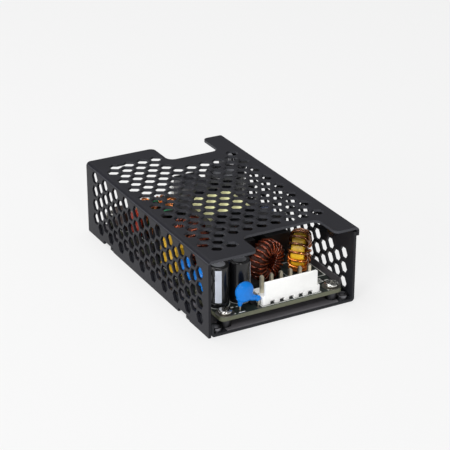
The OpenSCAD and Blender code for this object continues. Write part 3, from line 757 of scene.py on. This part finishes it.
def pick(piece: Piece, test: Callable[[bmesh.types.BMFace], bool]) -> None:
    """Enters edit mode with only some faces selected.

    Args:
        piece: the object.
        test: tells of a face whether it is selected.
    """
    take(piece)
    bpy.ops.object.mode_set(mode="EDIT")
    bpy.ops.mesh.select_mode(type="FACE")
    bpy.ops.mesh.select_all(action="DESELECT")
    mesh = bmesh.from_edit_mesh(piece.data)
    for face in mesh.faces:
        face.select_set(bool(test(face)))
    mesh.select_flush_mode()
    bmesh.update_edit_mesh(piece.data)


def done() -> None:
    """Leaves edit mode."""
    bpy.ops.object.mode_set(mode="OBJECT")


def inset(piece: Piece, way: int, width: float, push: float = 0.0) -> None:
    """Insets the faces at one end of a piece, and pushes them along Z.

    Args:
        piece: the object.
        way: 1 for the faces that look up, and -1 for those that look down.
        width: how far they shrink from their border.
        push: how far they are drawn out after that; nothing leaves them in place.
    """
    pick(piece, lambda face: face.normal.z * way > FLAT)
    bpy.ops.mesh.inset(thickness=width)
    if push:
        bpy.ops.mesh.extrude_region_move(TRANSFORM_OT_translate={"value": (0, 0, push)})
    done()


def modify(piece: Piece, kind: str, **settings: object) -> None:
    """Adds one modifier and applies it.

    Args:
        piece: the object.
        kind: the modifier's type.
        settings: its settings.
    """
    take(piece)
    modifier = piece.modifiers.new(kind.lower(), kind)
    for name, value in settings.items():
        setattr(modifier, name, value)
    bpy.ops.object.modifier_apply(modifier=modifier.name)


def soften(piece: Piece, width: float, segments: int = 2, angle: float = 30.0) -> None:
    """Rounds off the edges that are sharper than an angle, in degrees."""
    modify(
        piece, "BEVEL", width=width, segments=segments, limit_method="ANGLE",
        angle_limit=math.radians(angle),
    )


def combine(piece: Piece, other: Piece, how: str) -> None:
    """Unites a piece with another, or cuts it by it, and removes the other."""
    modify(piece, "BOOLEAN", operation=how, object=other, solver="EXACT")
    bpy.data.objects.remove(other)


def copy(piece: Piece, shift: Vector, turn: float = 0.0) -> Piece:
    """Copies a piece with its own mesh.

    Args:
        piece: what is copied; it stays.
        shift: how far the copy stands from it.
        turn: how far it is turned about Z at the origin first, in degrees.

    Returns:
        The seated copy.
    """
    twin = piece.copy()
    twin.data = piece.data.copy()
    bpy.context.scene.collection.objects.link(twin)
    twin.rotation_euler = (0.0, 0.0, math.radians(turn))
    twin.location = shift
    seat(twin)
    return twin


def move(piece: Piece, shift: Vector, turn: float) -> Piece:
    """Copies a piece to its place, as copy does, and removes the first one."""
    twin = copy(piece, shift, turn)
    bpy.data.objects.remove(piece)
    return twin


def join(pieces: Sequence[Piece]) -> Piece:
    """Joins pieces, at least one, into one object.

    Args:
        pieces: the objects.

    Returns:
        The seated object.
    """
    clear()
    for piece in pieces:
        piece.select_set(True)
    bpy.context.view_layer.objects.active = pieces[0]
    if len(pieces) > 1:
        bpy.ops.object.join()
    joined = bpy.context.object
    seat(joined)
    return joined


def smooth(piece: Piece, angle: float = 35.0) -> None:
    """Shades a piece smooth where its faces meet at less than an angle, in degrees."""
    take(piece)
    bpy.ops.object.shade_smooth_by_angle(angle=math.radians(angle))


def rim(piece: Piece, line: float, height: float) -> Piece:
    """Leaves only the rim of a flat piece and gives it a thickness.

    Args:
        piece: one flat face.
        line: width of the rim.
        height: its thickness, upwards.

    Returns:
        The piece.
    """
    pick(piece, lambda face: True)
    bpy.ops.mesh.inset(thickness=line)
    bpy.ops.mesh.delete(type="FACE")
    done()
    modify(piece, "SOLIDIFY", thickness=height, offset=1.0)
    return piece


def outline(size: Sequence[float], line: float, at: Vector, height: float) -> Piece:
    """Flat rectangle drawn with a line, width by length."""
    bpy.ops.mesh.primitive_plane_add(size=1, location=at)
    return rim(added((*size, 1)), line, height)


def ring(diameter: float, line: float, at: Vector, height: float) -> Piece:
    """Flat circle drawn with a line, its outside at the diameter."""
    bpy.ops.mesh.primitive_circle_add(
        vertices=40, radius=diameter / 2, fill_type="NGON", location=at
    )
    return rim(added(), line, height)


def block(size: Sequence[float], at: Sequence[float], round_off: float) -> Piece:
    """Box with its edges rounded off."""
    piece = cube(size, at)
    soften(piece, round_off)
    return piece


def wire(points: Sequence[Vector], diameter: float) -> Piece:
    """Round wire drawn as a curve through its points, then made a mesh.

    Args:
        points: the places that the wire's middle runs through.
        diameter: of the wire.

    Returns:
        The seated mesh.
    """
    clear()
    bpy.ops.curve.primitive_bezier_curve_add(location=(0, 0, 0))
    line = bpy.context.object
    line.data.dimensions = "3D"
    spline = line.data.splines[0]
    spline.bezier_points.add(len(points) - 2)
    for knot, place in zip(spline.bezier_points, points):
        knot.co = place
        knot.handle_left_type = knot.handle_right_type = "AUTO"
    line.data.bevel_depth, line.data.bevel_resolution = diameter / 2, 2
    line.data.resolution_u, line.data.use_fill_caps = 2, True
    bpy.ops.object.convert(target="MESH")
    piece = bpy.context.object
    seat(piece)
    smooth(piece, 50)
    return piece


def lump(at: Sequence[float], radii: Sequence[float], tilt: float = 0.0) -> Piece:
    """Rounded lump, tilted about Y in degrees."""
    bpy.ops.mesh.primitive_uv_sphere_add(segments=32, ring_count=18, radius=1, location=at)
    return added(radii, (0, tilt, 0))


def lead(foot: Vector, length: float, diameter: float) -> Piece:
    """Straight lead that stands on its foot."""
    top = foot + Vector((0, 0, length))
    return wire([foot, (foot + top) / 2, top], diameter)


def finished(
    piece: Piece,
    name: str,
    finish: Finish,
    replaced: Iterable[str] = (),
) -> None:
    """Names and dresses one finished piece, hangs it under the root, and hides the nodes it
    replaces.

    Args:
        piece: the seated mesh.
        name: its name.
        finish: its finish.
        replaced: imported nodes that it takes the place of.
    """
    piece.name = piece.data.name = name
    finish.apply(piece)
    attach(piece, ROOT)
    for node in replaced:
        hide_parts(node)
    LOG.info("%s: %d faces", name, len(piece.data.polygons))


def middle(node: str, z: float | None = None) -> Vector:
    """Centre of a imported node's box, or the point over it at a height."""
    low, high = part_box(node)
    centre = (low + high) / 2
    return centre if z is None else Vector((centre.x, centre.y, z))


# ---------------------------------------------------------------- sub-assemblies


@dataclass
class BoardPlan:
    """Where the board lies, and points on it in millimetres from its front left corner."""

    low: Vector = field(default_factory=lambda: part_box("circuit_board")[0])
    high: Vector = field(default_factory=lambda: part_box("circuit_board")[1])

    def at(self, x: float, y: float, z: float = 0.0) -> Vector:
        """A place over the board's top face."""
        return Vector((self.low.x + x * MM, self.low.y + y * MM, self.high.z + z * MM))

    @property
    def width(self) -> float:
        """Width of the board, in millimetres."""
        return (self.high.x - self.low.x) / MM

    @property
    def length(self) -> float:
        """Length of the board, in millimetres."""
        return (self.high.y - self.low.y) / MM


@dataclass
class BoardPrint:
    """White component outlines on the board."""

    plan: BoardPlan
    line: float = 0.27 * MM
    height: float = 0.03 * MM
    bold: float = 1.4  # a round outline's line, in lines
    margin: float = 0.5 * MM
    hollow: float = 2.2  # least width of a mark, in lines
    boxed: tuple[str, ...] = (
        "output_header", "input_header", "suppression_capacitor", "film_capacitor",
        "boost_choke_winding", "line_choke_base", "transformer_bobbin", "bridge_rectifier",
        "output_choke_winding", "filter_choke_winding", "control_chip", "fuse",
    )
    ringed: tuple[str, ...] = (
        "output_capacitor_left", "output_capacitor_right", "bulk_capacitor", "bias_capacitor",
        "drum_choke_core",
    )
    # place on the board, width and length, in millimetres
    marks: tuple[tuple[float, float, float, float], ...] = (
        (44.9, 9.0, 4.4, 3.0), (44.9, 9.0, 4.4, 1.2), (48.6, 7.2, 1.6, 2.4), (43.6, 5.9, 0.9, 1.8),
        (6.6, 5.6, 2.4, 0.7), (9.2, 5.4, 0.8, 0.5), (3.0, 6.4, 1.6, 0.6), (5.6, 0.9, 1.5, 0.5),
        (8.9, 0.9, 2.4, 0.5), (46.2, 0.9, 2.8, 0.5), (24.4, 12.6, 2.2, 1.1), (36.4, 12.4, 2.2, 1.1),
        (47.6, 30.0, 3.0, 5.0), (47.6, 37.0, 3.0, 5.0), (18.2, 95.0, 5.0, 3.0),
        (9.0, 96.0, 4.0, 2.0), (45.5, 96.5, 3.0, 4.0), (24.0, 90.0, 4.0, 6.0),
        (14.0, 48.0, 2.0, 1.2),
    )

    def build(self) -> None:
        """Prints every outline and joins them."""
        level = self.plan.high.z
        prints = []
        for node in self.boxed:
            low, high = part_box(node)
            at = middle(node, level)
            room = 2 * (self.plan.high.x - abs(at.x)) - self.line
            width, length = (side + 2 * self.margin for side in (high - low).xy)
            prints.append(outline((min(width, room), length), self.line, at, self.height))
        for node in self.ringed:
            low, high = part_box(node)
            diameter = high.x - low.x + 2 * self.line
            line = self.line * self.bold
            prints.append(ring(diameter, line, middle(node, level), self.height))
        for x, y, *sides in self.marks:
            size = [side * MM for side in sides]
            line = min(self.line, min(size) / self.hollow)
            prints.append(outline(size, line, self.plan.at(x, y), self.height))
        finished(join(prints), "board_print", PRINT_INK)


@dataclass
class BoardScrews:
    """Pan-head screws with a cross recess, each on a bright pad."""

    plan: BoardPlan
    inset: float = 3.175  # from the board's sides, in millimetres
    lift: float = 0.06  # over its face, in millimetres
    head: float = 5.2 * MM
    rise: float = 1.5 * MM
    flat: float = 0.13  # of the head
    crown: float = 0.55  # of the rise
    slot: tuple[float, float] = (0.56, 0.12)  # of the head
    bars: tuple[float, float] = (20, 110)
    shank: float = 2.4 * MM
    reach: float = 5.0 * MM
    pad: float = 7.0 * MM
    pad_height: float = 0.05 * MM
    turns: tuple[float, float] = (37.0, 61.0)  # from screw to screw, across and along

    def _head(self) -> Piece:
        """Makes one screw.

        Returns:
            The screw, its head's underside at the origin.
        """
        bpy.ops.mesh.primitive_cylinder_add(
            vertices=40, radius=self.head / 2, depth=self.rise, location=(0, 0, self.rise / 2)
        )
        screw = added()
        inset(screw, 1, self.head * self.flat)
        inset(screw, -1, (self.head - self.shank) / 2, -self.reach)
        soften(screw, self.rise * self.crown, 4, 60)
        length, width = (self.head * share for share in self.slot)
        for turn in self.bars:
            bar = cube((length, width, self.rise), (0, 0, self.rise), turn)
            combine(screw, bar, "DIFFERENCE")
        smooth(screw, 40)
        return screw

    def build(self) -> None:
        """Sets the four screws and their pads."""
        model = self._head()
        screws, pads = [], []
        for i, x in enumerate((self.inset, self.plan.width - self.inset)):
            for j, y in enumerate((self.inset, self.plan.length - self.inset)):
                turn = self.turns[0] * i + self.turns[1] * j
                screws.append(copy(model, self.plan.at(x, y, self.lift), turn))
                line = (self.pad - self.shank) / 2
                pads.append(ring(self.pad, line, self.plan.at(x, y), self.pad_height))
        bpy.data.objects.remove(model)
        finished(join(screws), "pan_screws", BRIGHT_STEEL, ("board_screws",))
        finished(join(pads), "screw_pads", PAD_TIN)


@dataclass
class CanDetail:
    """Scored top and sleeve stripe of one can capacitor."""

    node: str
    faces: float  # where the stripe looks, in degrees; 0 is in front
    arc: float = 46.0
    disc: float = 0.8  # of the can
    thick: float = 0.3 * MM
    sunk: float = 0.62  # of the thickness
    score: float = 0.16 * MM
    cut: tuple[float, float] = (1.3, 0.9)  # of the disc's radius and thickness
    lift: float = 0.03 * MM
    tall: float = 0.8  # of the can, as the middle's height is
    middle: float = 0.54

    def build(self) -> None:
        """Makes the top and the stripe."""
        low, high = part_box(self.node)
        radius = (high.x - low.x) / 2
        at = middle(self.node, high.z)
        self._top(at, radius * self.disc)
        self._stripe(at, radius, low.z, high.z - low.z)

    def _top(self, at: Vector, radius: float) -> None:
        """Makes the disc with crossed score lines, in the can's recess.

        Args:
            at: middle of the can's upper end.
            radius: of the disc.
        """
        place = at - Vector((0, 0, self.thick * self.sunk))
        bpy.ops.mesh.primitive_cylinder_add(
            vertices=40, radius=radius, depth=self.thick, location=place
        )
        disc = added()
        size = (radius * self.cut[0], self.score, self.thick * self.cut[1])
        for turn in (0, 90):
            combine(disc, cube(size, at, turn + self.faces), "DIFFERENCE")
        finished(disc, f"{self.node}_top", CAN_METAL)

    def _stripe(self, at: Vector, radius: float, foot: float, height: float) -> None:
        """Makes the pale stripe down the sleeve.

        Args:
            at: middle of the can's upper end.
            radius, foot, height: of the can.
        """
        bpy.ops.mesh.primitive_cylinder_add(
            vertices=72, radius=radius + self.lift, depth=height * self.tall,
            end_fill_type="NOTHING", location=(at.x, at.y, foot + height * self.middle),
        )
        band = added()
        mark = direction(self.faces, 0)

        def outside(face: bmesh.types.BMFace) -> bool:
            """Whether a face lies off the stripe."""
            way = face.calc_center_median() - at
            way.z = 0
            return math.degrees(way.angle(mark)) > self.arc / 2

        pick(band, outside)
        bpy.ops.mesh.delete(type="FACE")
        done()
        modify(band, "SOLIDIFY", thickness=self.lift, offset=-1.0)
        smooth(band)
        finished(band, f"{self.node}_stripe", STRIPE_INK)


@dataclass
class DippedDisc:
    """Disc part in dipped epoxy on two tinned legs, upright along Y or leaning along X."""

    node: str
    finish: Finish
    slot: Slot
    leaning: bool = False
    diameter: float = 7.4 * MM
    thick: float = 3.4 * MM
    lead: float = 5.7 * MM
    inner: float = 1.7 * MM  # leaning: of the left leg, from the disc's middle
    outer: float = 0.9 * MM  # leaning: of the right leg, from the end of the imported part
    wire: float = 0.7 * MM
    bend: float = 1.4 * MM
    depth: float = 0.7  # reach of a leg into the disc, in radii
    voxel: float = 0.2 * MM

    def _lumps(self, at: Vector, legs: Sequence[float]) -> list[Piece]:
        """Makes the disc and the drips of coat on its legs, and the sag of a leaning one.

        Args:
            at: middle of the disc.
            legs: the legs' places along X.

        Returns:
            The lumps.
        """
        (x, y, z), (left, right) = at, legs
        r, half = self.diameter / 2, self.thick / 2
        lumps = [(at, (r, half, r))]
        if self.leaning:
            lumps += [
                ((x + 0.2 * MM, y, z - 2.2 * MM), (r * 0.94, half * 0.94, r * 0.62)),
                ((x + 2.6 * MM, y, z - 3.0 * MM), (r * 0.84, half * 0.8, r * 0.36), 24),
                ((right - 0.3 * MM, y, z - 4.2 * MM), (1.25 * MM, 0.95 * MM, 1.3 * MM)),
                ((left, y, z - 4.3 * MM), (0.95 * MM, 0.9 * MM, 1.7 * MM)),
            ]
        else:
            drip = (1.05 * MM, 0.95 * MM, r * 0.55)
            lumps += [((leg * 0.96, y, z - r * 0.82), drip) for leg in legs]
        return [lump(*numbers) for numbers in lumps]

    def build(self) -> None:
        """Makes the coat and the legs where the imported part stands."""
        low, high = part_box(self.node)
        r = self.diameter / 2
        at, legs = Vector((0, 0, high.z - r)), (-self.lead / 2, self.lead / 2)
        if self.leaning:
            at = Vector((low.x + r, (low.y + high.y) / 2, high.z - r))
            legs = (at.x - self.inner, high.x - self.outer)
        coat = join(self._lumps(at, legs))
        modify(coat, "REMESH", mode="VOXEL", voxel_size=self.voxel)
        modify(coat, "SMOOTH", factor=0.6, iterations=9)
        heights = (low.z - SUNK, low.z + self.bend, at.z - r * self.depth)
        made = join([wire([Vector((leg, at.y, z)) for z in heights], self.wire) for leg in legs])
        if not self.leaning:
            coat, made = (move(piece, middle(self.node, 0), 90) for piece in (coat, made))
        smooth(coat, 180)
        finished(coat, f"{self.node}_coat", self.finish, (self.node,))
        finished(made, f"{self.node}_legs", TIN)


@dataclass
class WoundRing:
    """Wire wound round a ring core; lengths in millimetres, and start and end in degrees."""

    core: str
    node: str
    finish: Finish
    outer: float
    inner: float
    thick: float
    wire: float
    turns: int
    start: float
    end: float
    turn: float = 0.0
    standing: bool = True
    drop: float = 0.5
    flare: float = 1.02
    play: float = 0.06  # air between wire and core
    corner: float = 0.7
    name: str = ""  # where it isn't the winding's

    def _section(self) -> list[tuple[float, float]]:
        """Lays out one turn.

        Returns:
            Its corners, as distance from the ring's axis and height over its middle.
        """
        reach, cut = self.wire / 2 + self.play, self.corner
        near, far = self.inner / 2 - reach, self.outer / 2 + reach
        level = self.thick / 2 + reach
        return [
            (far, -level + cut), (far, level - cut), (far - cut, level), (near + cut, level),
            (near, level - cut), (near, -level + cut), (near + cut, -level), (far - cut, -level),
        ]

    def _run(self) -> list[Vector]:
        """Winds the turns round a lying ring.

        Returns:
            The places that the wire runs through.
        """
        section = self._section()
        steps = self.turns * len(section) + 1
        points = []
        for i in range(steps + 1):
            radius, level = section[i % len(section)]
            angle = math.radians(self.start + (self.end - self.start) * i / steps)
            points.append(Vector((radius * math.cos(angle), radius * math.sin(angle), level)))
        if self.drop:
            first, last = (
                Vector((p.x * self.flare, p.y - self.drop, p.z)) for p in (points[0], points[-1])
            )
            points = [first, *points, last]
        return points

    def build(self) -> None:
        """Winds the wire and stands it on its core."""
        way = Matrix.Rotation(math.radians(self.turn), 3, "Z")
        if self.standing:
            way = way @ Matrix.Rotation(math.radians(90), 3, "X")
        centre = middle(self.core)
        wound = wire([centre + way @ p * MM for p in self._run()], self.wire * MM)
        name = self.name or f"{self.node}_wire"
        finished(wound, name, self.finish, (self.node,))


@dataclass
class SmallParts:
    """Chip parts on the board's top, and solder joints under it."""

    plan: BoardPlan
    # place on the board, in millimetres, and turn
    chips: tuple[Triple, ...] = (
        (24.4, 12.6, 0), (36.4, 12.4, 0), (47.6, 28.6, 90), (47.6, 31.4, 90), (47.6, 35.6, 90),
        (47.6, 38.4, 90), (14.0, 48.0, 0), (18.4, 95.0, 0), (9.0, 96.0, 0), (45.5, 95.0, 90),
        (45.5, 98.0, 90), (23.4, 88.6, 90), (24.6, 91.4, 90), (45.6, 46.0, 0), (48.4, 5.9, 90),
    )
    size: Triple = (2.0, 1.25, 0.55)
    body: float = 0.62  # of the chip's length
    cap: Triple = (0.22, 1.02, 1.06)  # of the chip's sides
    apart: float = 0.4  # of its length
    body_edge: float = 0.06 * MM
    cap_edge: float = 0.08 * MM
    joint_r: float = 0.85 * MM
    joint_h: float = 1.1 * MM
    tip: float = 0.3  # of the radius
    melt: float = 0.16  # of the height
    pins: tuple[tuple[str, int], ...] = (("output_pins", 6), ("input_pins", 2))
    pin_inset: float = 0.57 * MM
    # parts on two leads along X and along Y, and how many millimetres those are apart
    across: tuple[tuple[str, float], ...] = (
        ("output_capacitor_left", 3.5), ("output_capacitor_right", 3.5), ("bulk_capacitor", 7.5),
        ("bias_capacitor", 2.5), ("suppression_capacitor", 7.0), ("output_choke_core", 9.0),
        ("filter_choke_core", 8.0), ("drum_choke_core", 5.0),
    )
    along: tuple[tuple[str, float], ...] = (
        ("film_capacitor", 10.0), ("safety_capacitor_front", 5.7), ("varistor", 5.7),
        ("safety_capacitor_back", 5.7), ("boost_choke_core", 12.0), ("line_choke_core", 12.0),
    )
    bobbin_pins: int = 5
    bobbin_pitch: float = 3.2 * MM
    bobbin_row: float = 9.5 * MM

    def build(self) -> None:
        """Places the chips, then the joints."""
        bodies, ends = [], []
        x, y, z = (side * MM for side in self.size)
        for place_x, place_y, turn in self.chips:
            at = self.plan.at(place_x, place_y, self.size[2] / 2)
            body = block((x * self.body, y, z), (0, 0, 0), self.body_edge)
            bodies.append(move(body, at, turn))
            for side in (-1, 1):
                size = [whole * share for whole, share in zip((x, y, z), self.cap)]
                end = block(size, (side * x * self.apart, 0, 0), self.cap_edge)
                ends.append(move(end, at, turn))
        finished(join(bodies), "chip_bodies", BLACK_PLASTIC)
        finished(join(ends), "chip_ends", TIN)
        self._joints()

    def _joints(self) -> None:
        """Solder cones under the leads."""
        bpy.ops.mesh.primitive_cone_add(
            vertices=16, radius1=self.joint_r, radius2=self.joint_r * self.tip,
            depth=self.joint_h, location=(0, 0, -self.joint_h / 2),
        )
        model = added(turn=(180, 0, 0))
        soften(model, self.joint_h * self.melt)
        smooth(model, 60)
        under = self.plan.low.z
        joints = [copy(model, Vector((*at.xy, under))) for at in self._leads()]
        bpy.data.objects.remove(model)
        finished(join(joints), "solder_joints", SOLDER)

    def _leads(self) -> list[Vector]:
        """Finds where leads come through the board.

        Returns:
            The places, at any height.
        """
        found = []
        for node, count in self.pins:
            low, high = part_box(node)
            span = high.x - low.x - 2 * self.pin_inset
            for i in range(count):
                x = low.x + self.pin_inset + span * i / (count - 1)
                found.append(Vector((x, (low.y + high.y) / 2, 0)))
        for pairs, way in ((self.across, Vector((1, 0, 0))), (self.along, Vector((0, 1, 0)))):
            for node, gap in pairs:
                half = way * (gap / 2 * MM)
                found += [middle(node) - half, middle(node) + half]
        at = middle("transformer_bobbin")
        for i in range(self.bobbin_pins):
            x = (i - (self.bobbin_pins - 1) / 2) * self.bobbin_pitch
            found += [at + Vector((x, side * self.bobbin_row, 0)) for side in (-1, 1)]
        return found


@dataclass
class HeaderShell:
    """White shell of a pin header: base on feet, and a wall along its outer side."""

    node: str
    ways: int
    facing: int  # -1 where the wall is on the low Y side, and 1 on the high one
    pitch: float = 3.96 * MM
    base: float = 3.0 * MM
    wall: float = 1.3 * MM
    short: float = 1.0 * MM  # of the wall, at either end
    notch: Triple = (1.9 * MM, 3.6 * MM, 1.45 * MM)
    soft: float = 0.16 * MM

    def build(self) -> None:
        """Joins base and wall, cuts the notches and softens the edges."""
        low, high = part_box(self.node)
        size = high - low
        x, y, z = middle(self.node)
        outer = low.y if self.facing < 0 else high.y
        shell = cube((size.x, size.y, self.base), (x, y, low.z + self.base / 2))
        at = (x, outer - self.facing * self.wall / 2, z)
        wall = cube((size.x - 2 * self.short, self.wall, size.z), at)
        combine(shell, wall, "UNION")
        width, depth, height = self.notch
        cutters = []
        for i in range(1, self.ways):
            place = (x + (i - self.ways / 2) * self.pitch, outer, low.z)
            cutters.append(cube((width, depth, 2 * height), place))
        combine(shell, join(cutters), "DIFFERENCE")
        soften(shell, self.soft)
        smooth(shell, 30)
        finished(shell, f"{self.node}_shell", WHITE_NYLON, (self.node,))


@dataclass
class MouldedCase:
    """Boxed part with soft edges and a sunk panel in its top, on round leads."""

    node: str
    finish: Finish
    slot: Slot
    lift: float  # of the box, off the board
    edge: float
    rim: float
    sink: float  # depth of the panel
    leads: tuple[float, ...]  # along the longer side, from its middle
    lead: float = 0.7 * MM
    bury: float = 0.6 * MM

    def build(self) -> None:
        """Makes the box and its leads."""
        low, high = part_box(self.node)
        size = high - low
        size.z -= self.lift
        at = middle(self.node, low.z + self.lift + size.z / 2)
        box = cube(size, at)
        inset(box, 1, self.rim, -self.sink)
        soften(box, self.edge, 3, 50)
        smooth(box, 35)
        finished(box, f"{self.node}_case", self.finish, (self.node,))
        along = Vector((1, 0, 0)) if size.x > size.y else Vector((0, 1, 0))
        foot = Vector((*at.xy, low.z - SUNK))
        length = self.lift + self.bury
        legs = [lead(foot + along * reach, length, self.lead) for reach in self.leads]
        finished(join(legs), f"{self.node}_leads", TIN)


@dataclass
class TransformerTrim:
    """Loose end of the tape on the transformer, and its rows of lead pins."""

    flap: Triple = (0.94, 0.42, 0.09 * MM)  # the first two, of the winding
    bare: float = 4.4 * MM  # width of the winding that is under the core
    forward: float = 0.36  # of the winding's length
    proud: float = 0.05 * MM
    pins: int = 5
    pitch: float = 3.2 * MM
    row: float = 9.6 * MM
    pin: float = 0.8 * MM
    pin_length: float = 1.9 * MM

    def build(self) -> None:
        """Lays the flap on the winding and sets the pins."""
        low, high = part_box("transformer_winding")
        size = high - low
        across, along, thick = self.flap
        at = middle("transformer_winding", high.z - thick / 2 + self.proud)
        at.y = low.y + size.y * self.forward
        sides = ((size.x - self.bare) * across, size.y * along, thick)
        finished(block(sides, at, thick * 0.3), "tape_end", PALE_TAPE)
        centre = middle("transformer_bobbin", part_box("circuit_board")[1].z - SUNK)
        wires = []
        for side in (-1, 1):
            for i in range(self.pins):
                x = (i - (self.pins - 1) / 2) * self.pitch
                foot = centre + Vector((x, side * self.row, 0))
                wires.append(lead(foot, self.pin_length, self.pin))
        finished(join(wires), "transformer_pins", TIN)


# ---------------------------------------------------------------- scene


def dress_nodes(nodes: dict[str, Piece]) -> None:
    """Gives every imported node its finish.

    Args:
        nodes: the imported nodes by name.
    """
    worn = {name: finish for finish, names in WEARERS.items() for name in names}
    for name, piece in nodes.items():
        worn[name].apply(piece)
        LOG.info("dressed %s", name)


def build_parts() -> None:
    """Builds every sub-assembly in order."""
    plan = BoardPlan()
    disc = (BLUE_EPOXY, Slot.BLUE)
    line_choke = ("line_choke_core", "line_choke_windings", ORANGE_WIRE, 15.0, 8.0, 9.0, 1.0, 8)
    for part in (
        BoardPrint(plan),
        BoardScrews(plan),
        # its pale stripe faces the camera: a polarity stripe that also stands in for part of the
        # sleeve's painted highlight
        CanDetail("output_capacitor_left", -27.0, 34.0),
        CanDetail("output_capacitor_right", 70.0),
        CanDetail("bulk_capacitor", 150.0, 30.0),
        CanDetail("bias_capacitor", 60.0, 50.0),
        DippedDisc("noise_capacitor", *disc, leaning=True),
        DippedDisc("safety_capacitor_front", *disc),
        DippedDisc("safety_capacitor_back", *disc),
        DippedDisc("varistor", RED_EPOXY, Slot.RED, diameter=9.4 * MM),
        WoundRing(
            "output_choke_core", "output_choke_winding", BROWN_WIRE, 13.6, 7.0, 5.0, 0.88, 21,
            -82, 262, 22,
        ),
        WoundRing(
            "filter_choke_core", "filter_choke_winding", AMBER_WIRE, 13.6, 7.0, 5.0, 1.1, 14,
            -78, 258, 50,
        ),
        WoundRing(
            "boost_choke_core", "boost_choke_winding", BROWN_WIRE, 18.0, 9.6, 6.0, 0.8, 28,
            -84, 264, 90,
        ),
        *(
            WoundRing(
                *line_choke, side - 66, side + 66, standing=False, drop=0.0,
                name=f"line_choke_wire_{side}",
            )
            for side in (0, 180)
        ),
        HeaderShell("output_header", 6, -1),
        HeaderShell("input_header", 3, 1),
        MouldedCase(
            "film_capacitor", YELLOW_CASE, Slot.YELLOW_CASE, 0.6 * MM, 0.35 * MM, 0.7 * MM,
            0.2 * MM, (-5 * MM, 5 * MM),
        ),
        MouldedCase(
            "suppression_capacitor", X_CASE, Slot.BLACK, 0.5 * MM, 0.5 * MM, 1.1 * MM,
            0.25 * MM, (-6 * MM, 6 * MM),
        ),
        MouldedCase(
            "fuse", FUSE_CASE, Slot.BLACK, 0.6 * MM, 0.4 * MM, 0.6 * MM, 0.2 * MM,
            (-2.5 * MM, 2.5 * MM),
        ),
        MouldedCase(
            "bridge_rectifier", BLACK_PLASTIC, Slot.BLACK, 2.0 * MM, 0.4 * MM, 0.7 * MM,
            0.3 * MM, (-6 * MM, -2 * MM, 2 * MM, 6 * MM),
        ),
        TransformerTrim(),
        SmallParts(plan),
    ):
        part.build()


def main() -> None:
    """Builds the scene in order."""
    logging.basicConfig(level=logging.INFO, format="%(message)s")
    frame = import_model()
    clear()
    dress_nodes(frame["nodes"])
    build_parts()
    Studio().build()


if __name__ == "__main__":
    main()
